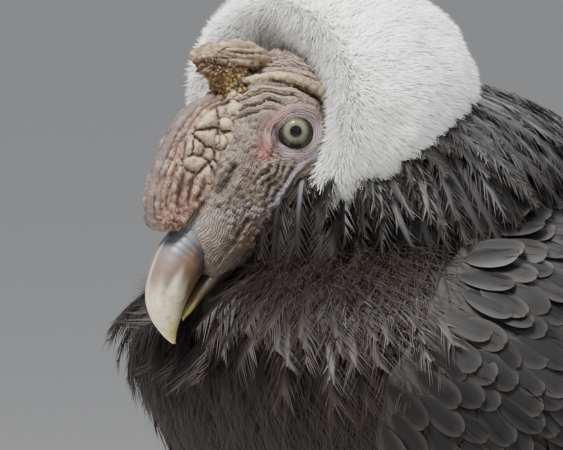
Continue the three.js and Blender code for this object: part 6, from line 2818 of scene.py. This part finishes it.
@dataclass
class Legs:
    """Scaly lower legs and feet, raised scutes and blunt claws."""

    toes: tuple[Toe, ...] = (
        Toe("inner", -30, 72, 10.5, 24), Toe("middle", 0, 112, 12, 26),
        Toe("outer", 28, 76, 10.5, 22), Toe("hind", 172, 34, 9, 20),
    )
    sole: float = 0.9
    narrow: float = 0.86  # the lower leg's breadth over its depth
    plate_depth: float = 0.9  # how far out the plates sit, as a share of the leg's radius
    plate_rows: int = 13

    def waist(self, t: Array | float) -> Array | float:
        """The lower leg's radius at a share of the way down."""
        return 8.9 + 3.2 * (2 * t - 1) ** 2

    def foot_place(self, side: int) -> Array:
        """The ground under the middle of a foot."""
        return np.array([side * PLAN.stance, PLAN.ankle[0], 0.0])

    def lower_leg(self, side: int) -> Shell:
        """The lower leg under its scutes, down into the foot's pad.

        Args:
            side: 1 for the left leg, -1 for the right.

        Returns:
            A closed shell.
        """
        t = np.linspace(0, 1.1, 70)
        y = lerp(PLAN.hock[0], PLAN.ankle[0], t)
        z = lerp(PLAN.hock[1] + 14, PLAN.ankle[1], t)
        turn = circle(48)
        waist = self.waist(np.minimum(t, 1))[:, None]
        return loft(np.stack([
            side * PLAN.stance + self.narrow * waist * np.sin(turn), y[:, None] - waist * np.cos(turn),
            np.broadcast_to(z[:, None], (70, 48))
        ], axis=-1))

    def toe_form(self, toe: Toe, side: int) -> Shell:
        """One toe, its sole flat on the ground, with joints that swell.

        Args:
            toe: the toe's measures.
            side: 1 for the left foot, -1 for the right.

        Returns:
            A closed shell.
        """
        t = np.linspace(0, 1, 60)
        radius = toe.radius(t) * (1 + 0.05 * np.cos(2 * math.pi * t * toe.length / 26))
        radius = radius * np.sqrt(np.clip(1 - ((t - 0.93) / 0.07).clip(0, 1) ** 2 * 0.6, 0, 1))
        way = toe.way(side)
        across = np.cross([0, 0, 1.0], way)
        turn = circle(40)
        middle = self.foot_place(side) + way * (toe.length * t)[:, None]
        grid = middle[:, None] + across * (radius[:, None] * np.sin(turn))[..., None]
        raised = self.sole * radius[:, None] + radius[:, None] * np.cos(turn)
        grid[..., 2] = np.maximum(0.02, raised)
        return loft(grid)

    def foot(self, side: int) -> Shell:
        """The toes, the pad that joins them and the lower leg, as one skin.

        Args:
            side: 1 for the left foot, -1 for the right.

        Returns:
            A closed shell.
        """
        turn = circle(40)
        heights = np.linspace(0, 22, 14)
        radius = np.interp(heights, (0, 7, 15, 22), (14.5, 15.5, 13.5, 11))[:, None]
        pad = np.stack([
            side * PLAN.stance + radius * np.sin(turn), PLAN.ankle[0] - radius * np.cos(turn),
            np.broadcast_to(heights[:, None], (14, 40))
        ], axis=-1)
        forms = [self.toe_form(toe, side) for toe in self.toes] + [loft(pad), self.lower_leg(side)]
        skin = one_skin([outward(form) for form in forms], 1.0)
        small = pebbles(skin.points, 2.4, 121) - 0.5
        large = pebbles(skin.points * [1, 1, 0.9], 3.6, 111) - 0.6
        height = skin.points[:, 2]
        grain = lerp(0.5 * small, 0.6 * large, ease((height - 20) / 8)) * ease((height - 1) / 2)
        skin.points = skin.points + skin.normals() * grain[:, None]
        skin.points[:, 2] = np.maximum(skin.points[:, 2], 0.0)
        return skin

    def claw(self, toe: Toe, side: int) -> Shell:
        """A blunt claw that curves down to the ground.

        Args:
            toe: the toe that it ends.
            side: 1 for the left foot, -1 for the right.

        Returns:
            A closed shell.
        """
        way = toe.way(side)
        across = np.cross([0, 0, 1.0], way)
        tip = self.foot_place(side) + way * toe.length
        t = np.linspace(0, 0.93, 26)
        drop = 9.5 * np.cos(math.pi / 2 * t * 0.92) + 1.2
        middle = tip + way * (toe.claw * (t - 0.2))[:, None]
        radius = toe.radius(1) * 0.68 * (1 - 0.8 * t)
        turn = circle(24)
        grid = middle[:, None] + across * (0.8 * radius[:, None] * np.sin(turn))[..., None]
        grid[..., 2] = np.maximum(0.3, drop[:, None] + radius[:, None] * np.cos(turn))
        end = tip + way * toe.claw * 0.84
        end[2] = 0.6
        return loft(grid, None, end)

    def scute_spots(self, side: int) -> dict[str, list[tuple]]:
        """Where scutes sit on the lower leg and the foot: place, turn and size of each.

        Args:
            side: 1 for the left leg, -1 for the right.

        Returns:
            A list of them for the lower leg, and one for the foot.
        """
        spots = {"tarsus": [], "foot": []}
        tilt, sunk = math.radians(12), self.plate_depth
        for i in range(self.plate_rows):
            t = (i + 0.4) / self.plate_rows
            y, z = lerp(PLAN.hock[0], PLAN.ankle[0], t), lerp(PLAN.hock[1] + 2, PLAN.ankle[1] + 4, t)
            waist = self.waist(t)
            for a in (math.radians(-24), math.radians(24)):
                x = side * PLAN.stance + self.narrow * waist * math.sin(a) * sunk
                at = (x, y - waist * math.cos(a) * sunk, z)
                spots["tarsus"].append((at, (tilt, 0.0, a), (5.2, 2.2, 5.0)))
        for toe in self.toes:
            way = toe.way(side)
            count = round(toe.length / 6.5)
            turn = (math.radians(5), 0.0, math.atan2(way[0], -way[1]))
            for i in range(count):
                t = (i + 0.7) / count * 0.94
                radius = toe.radius(t)
                at = self.foot_place(side) + way * toe.length * t
                at[2] = (self.sole + 0.86) * radius
                if t * toe.length > 14:
                    spots["foot"].append((tuple(at), turn, (0.72 * radius, 3.9, 1.9)))
        return spots

    def scutes(self, name: str, spots: list[tuple], material: Material) -> Piece:
        """Raised plates on points, made by a small node tree.

        Args:
            name: the piece's name.
            spots: place, turn and size of each plate.
            material: the plates' finish.

        Returns:
            The plates as one plain mesh.
        """
        mesh = bpy.data.meshes.new(f"{name}_points")
        shift = PLAN.shift()
        mesh.from_pydata([tuple(np.array(at) * MM + shift) for at, _, _ in spots], [], [])
        for layer, column, factor in (("turn", 1, 1.0), ("size", 2, MM)):
            attribute = mesh.attributes.new(layer, "FLOAT_VECTOR", "POINT")
            attribute.data.foreach_set("vector", np.array([row[column] for row in spots]).ravel() * factor)
        holder = bpy.data.objects.new(f"{name}_holder", mesh)
        bpy.context.collection.objects.link(holder)
        ScuteGrowth(material).attach(holder, segments=14, rings=9)
        made = evaluated(holder)
        holder.modifiers.clear()
        bpy.data.objects.remove(holder)
        made.polygons.foreach_set("use_smooth", np.ones(len(made.polygons), bool))
        for layer in ("turn", "size"):
            if layer in made.attributes:
                made.attributes.remove(made.attributes[layer])
        piece = bpy.data.objects.new(name, made)
        bpy.context.collection.objects.link(piece)
        return piece

    def build(self) -> None:
        """Makes both legs."""
        scale = PlainFinish("leg_skin", srgb(92, 84, 76), srgb(140, 130, 116), 0.6, 0.0025, 0.0005).material()
        plate = PlainFinish(
            "leg_scutes", srgb(104, 96, 86), srgb(150, 142, 128), 0.5, 0.003, 0.0003).material()
        horn = PlainFinish(
            "claw_horn", srgb(26, 24, 22), srgb(58, 52, 44), 0.32, 0.002, 0.0001, 0.3).material()
        for side, word in SIDES:
            nodes = (f"tarsus_{word}", f"foot_{word}")
            dress(f"leg_scales_{word}", self.foot(side), scale, nodes)
            for part, spots in self.scute_spots(side).items():
                settle(self.scutes(f"scutes_{part}_{word}", spots, plate), (f"{part}_{word}",))
            for toe in self.toes:
                node = f"claw_{toe.name}_{word}"
                dress(f"claw_horn_{toe.name}_{word}", self.claw(toe, side), horn, (node,))


@dataclass
class ScuteGrowth:
    """A node tree that sets a flattened ball on every point."""

    material: Material

    def tree(self) -> bpy.types.NodeTree:
        """Builds the tree with its named inputs.

        Returns:
            The tree.
        """
        tree = bpy.data.node_groups.new("scute_growth", "GeometryNodeTree")
        for name, way, kind in (
            ("Geometry", "INPUT", "Geometry"), ("Segments", "INPUT", "Int"), ("Rings", "INPUT", "Int"),
            ("Material", "INPUT", "Material"), ("Geometry", "OUTPUT", "Geometry"),
        ):
            tree.interface.new_socket(name, in_out=way, socket_type=f"NodeSocket{kind}")
        kinds = {
            "source": "NodeGroupInput", "ball": "GeometryNodeMeshUVSphere",
            "turn": "GeometryNodeInputNamedAttribute", "size": "GeometryNodeInputNamedAttribute",
            "euler": "FunctionNodeEulerToRotation", "set_on": "GeometryNodeInstanceOnPoints",
            "real": "GeometryNodeRealizeInstances", "finish": "GeometryNodeSetMaterial",
            "result": "NodeGroupOutput",
        }
        nodes = {name: tree.nodes.new(kind) for name, kind in kinds.items()}
        nodes["ball"].inputs["Radius"].default_value = 1.0
        for name in ("turn", "size"):
            nodes[name].data_type = "FLOAT_VECTOR"
            nodes[name].inputs["Name"].default_value = name
        for start, output, end, target in (
            ("source", "Segments", "ball", "Segments"), ("source", "Rings", "ball", "Rings"),
            ("source", "Geometry", "set_on", "Points"), ("ball", "Mesh", "set_on", "Instance"),
            ("turn", "Attribute", "euler", "Euler"), ("euler", "Rotation", "set_on", "Rotation"),
            ("size", "Attribute", "set_on", "Scale"), ("set_on", "Instances", "real", "Geometry"),
            ("real", "Geometry", "finish", "Geometry"), ("source", "Material", "finish", "Material"),
            ("finish", "Geometry", "result", "Geometry"),
        ):
            tree.links.new(nodes[start].outputs[output], nodes[end].inputs[target])
        return tree

    def attach(self, holder: Piece, segments: int, rings: int) -> None:
        """Puts the tree on an object of points and sets its inputs.

        Args:
            holder: the object of points.
            segments: how many points round a plate.
            rings: how many rings on a plate.
        """
        modifier = holder.modifiers.new("scutes", "NODES")
        modifier.node_group = self.tree()
        values = {"Segments": segments, "Rings": rings, "Material": self.material}
        for item in modifier.node_group.interface.items_tree:
            if item.in_out == "INPUT" and item.name in values:
                modifier[item.identifier] = values[item.name]


# Studio


def towards(azimuth: float, elevation: float) -> Vector:
    """The way from the bird to a place by its angles round from straight ahead and up."""
    level = math.cos(elevation)
    return Vector((math.sin(azimuth) * level, -math.cos(azimuth) * level, math.sin(elevation)))


@dataclass
class Studio:
    """A pale floor, soft lights and a camera at the photo's angle."""

    azimuth: float = math.radians(62)
    elevation: float = math.radians(3.5)
    distance: float = 4.0
    lens: float = 568.5
    sensor: float = 36
    eye_right: float = 0.0065  # metres from the middle of the picture to the left eye
    eye_above: float = 0.0423
    floor_half: float = 100.0

    def add(self, name: str, data: bpy.types.ID) -> Piece:
        """Puts an object into the scene.

        Args:
            name: the object's name.
            data: its mesh, light or camera data.

        Returns:
            The new object.
        """
        made = bpy.data.objects.new(name, data)
        bpy.context.collection.objects.link(made)
        return made

    def aim(self, piece: Piece, target: Vector, way: Vector, reach: float) -> None:
        """Sets an object at a distance from a target and turns it towards it."""
        piece.location = target + way * reach
        piece.rotation_euler = way.to_track_quat("Z", "Y").to_euler()

    def floor(self) -> Piece:
        """A very large pale floor.

        Returns:
            The floor.
        """
        mesh = bpy.data.meshes.new("floor")
        far = self.floor_half
        mesh.from_pydata([(-far, -far, 0), (far, -far, 0), (far, far, 0), (-far, far, 0)], [], [(0, 1, 2, 3)])
        material = bpy.data.materials.new("floor_matte")
        material.use_nodes = True
        shader = material.node_tree.nodes["Principled BSDF"]
        shader.inputs["Base Color"].default_value = (*srgb(206, 204, 198), 1)
        shader.inputs["Roughness"].default_value = 0.9
        mesh.materials.append(material)
        return self.add("floor", mesh)

    def light(
        self, name: str, turn: tuple[float, float], size: float, power: float, reach: float,
        colour: Colour = (1, 1, 1),
    ) -> Piece:
        """One soft light that looks at the head, by its azimuth and elevation in degrees.

        Args:
            name: the light's name.
            turn: its azimuth and elevation.
            size: the side of its square.
            power: its power in watts.
            reach: its distance from the head.
            colour: its colour.

        Returns:
            The light.
        """
        data = bpy.data.lights.new(name, "AREA")
        data.size, data.energy, data.color = size, power, colour
        lamp = self.add(name, data)
        self.aim(lamp, self.head_centre(), towards(*(math.radians(angle) for angle in turn)), reach)
        return lamp

    def head_centre(self) -> Vector:
        """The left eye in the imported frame."""
        low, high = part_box("eye_left")
        return (low + high) / 2

    def camera(self) -> Piece:
        """The camera, placed so that the left eye falls where the photo shows it.

        Returns:
            The camera.
        """
        way = towards(self.azimuth, self.elevation)
        right = Vector((math.cos(self.azimuth), math.sin(self.azimuth), 0))
        above = way.cross(right)
        data = bpy.data.cameras.new("camera")
        data.lens, data.sensor_width, data.clip_end = self.lens, self.sensor, 500
        camera = self.add("camera", data)
        target = self.head_centre() - right * self.eye_right - above * self.eye_above
        self.aim(camera, target, way, self.distance)
        bpy.context.scene.camera = camera
        return camera

    def build(self) -> None:
        """Makes the set."""
        floor = self.floor()
        lamps = [
            self.light("key", (30, 58), 1.0, 230, 2.6, (1.0, 0.98, 0.95)),
            self.light("fill", (110, 30), 2.4, 45, 3.2, (0.96, 0.98, 1.0)),
            self.light("rim", (215, 55), 1.6, 80, 2.8),
        ]
        world = bpy.data.worlds.new("world")
        bpy.context.scene.world = world
        world.use_nodes = True
        sky = world.node_tree.nodes["Background"]
        sky.inputs["Color"].default_value = (0.86, 0.9, 1.0, 1)
        sky.inputs["Strength"].default_value = 0.45
        self.camera()


def main() -> None:
    """Builds the bird and its set, and notes its size."""
    logging.basicConfig(level=logging.INFO, format="%(message)s")
    for part in (Head(), Bill(), Ruff(), Body(), WING, Tail(), Legs()):
        part.build()
    Studio().build()


if __name__ == "__main__":
    main()
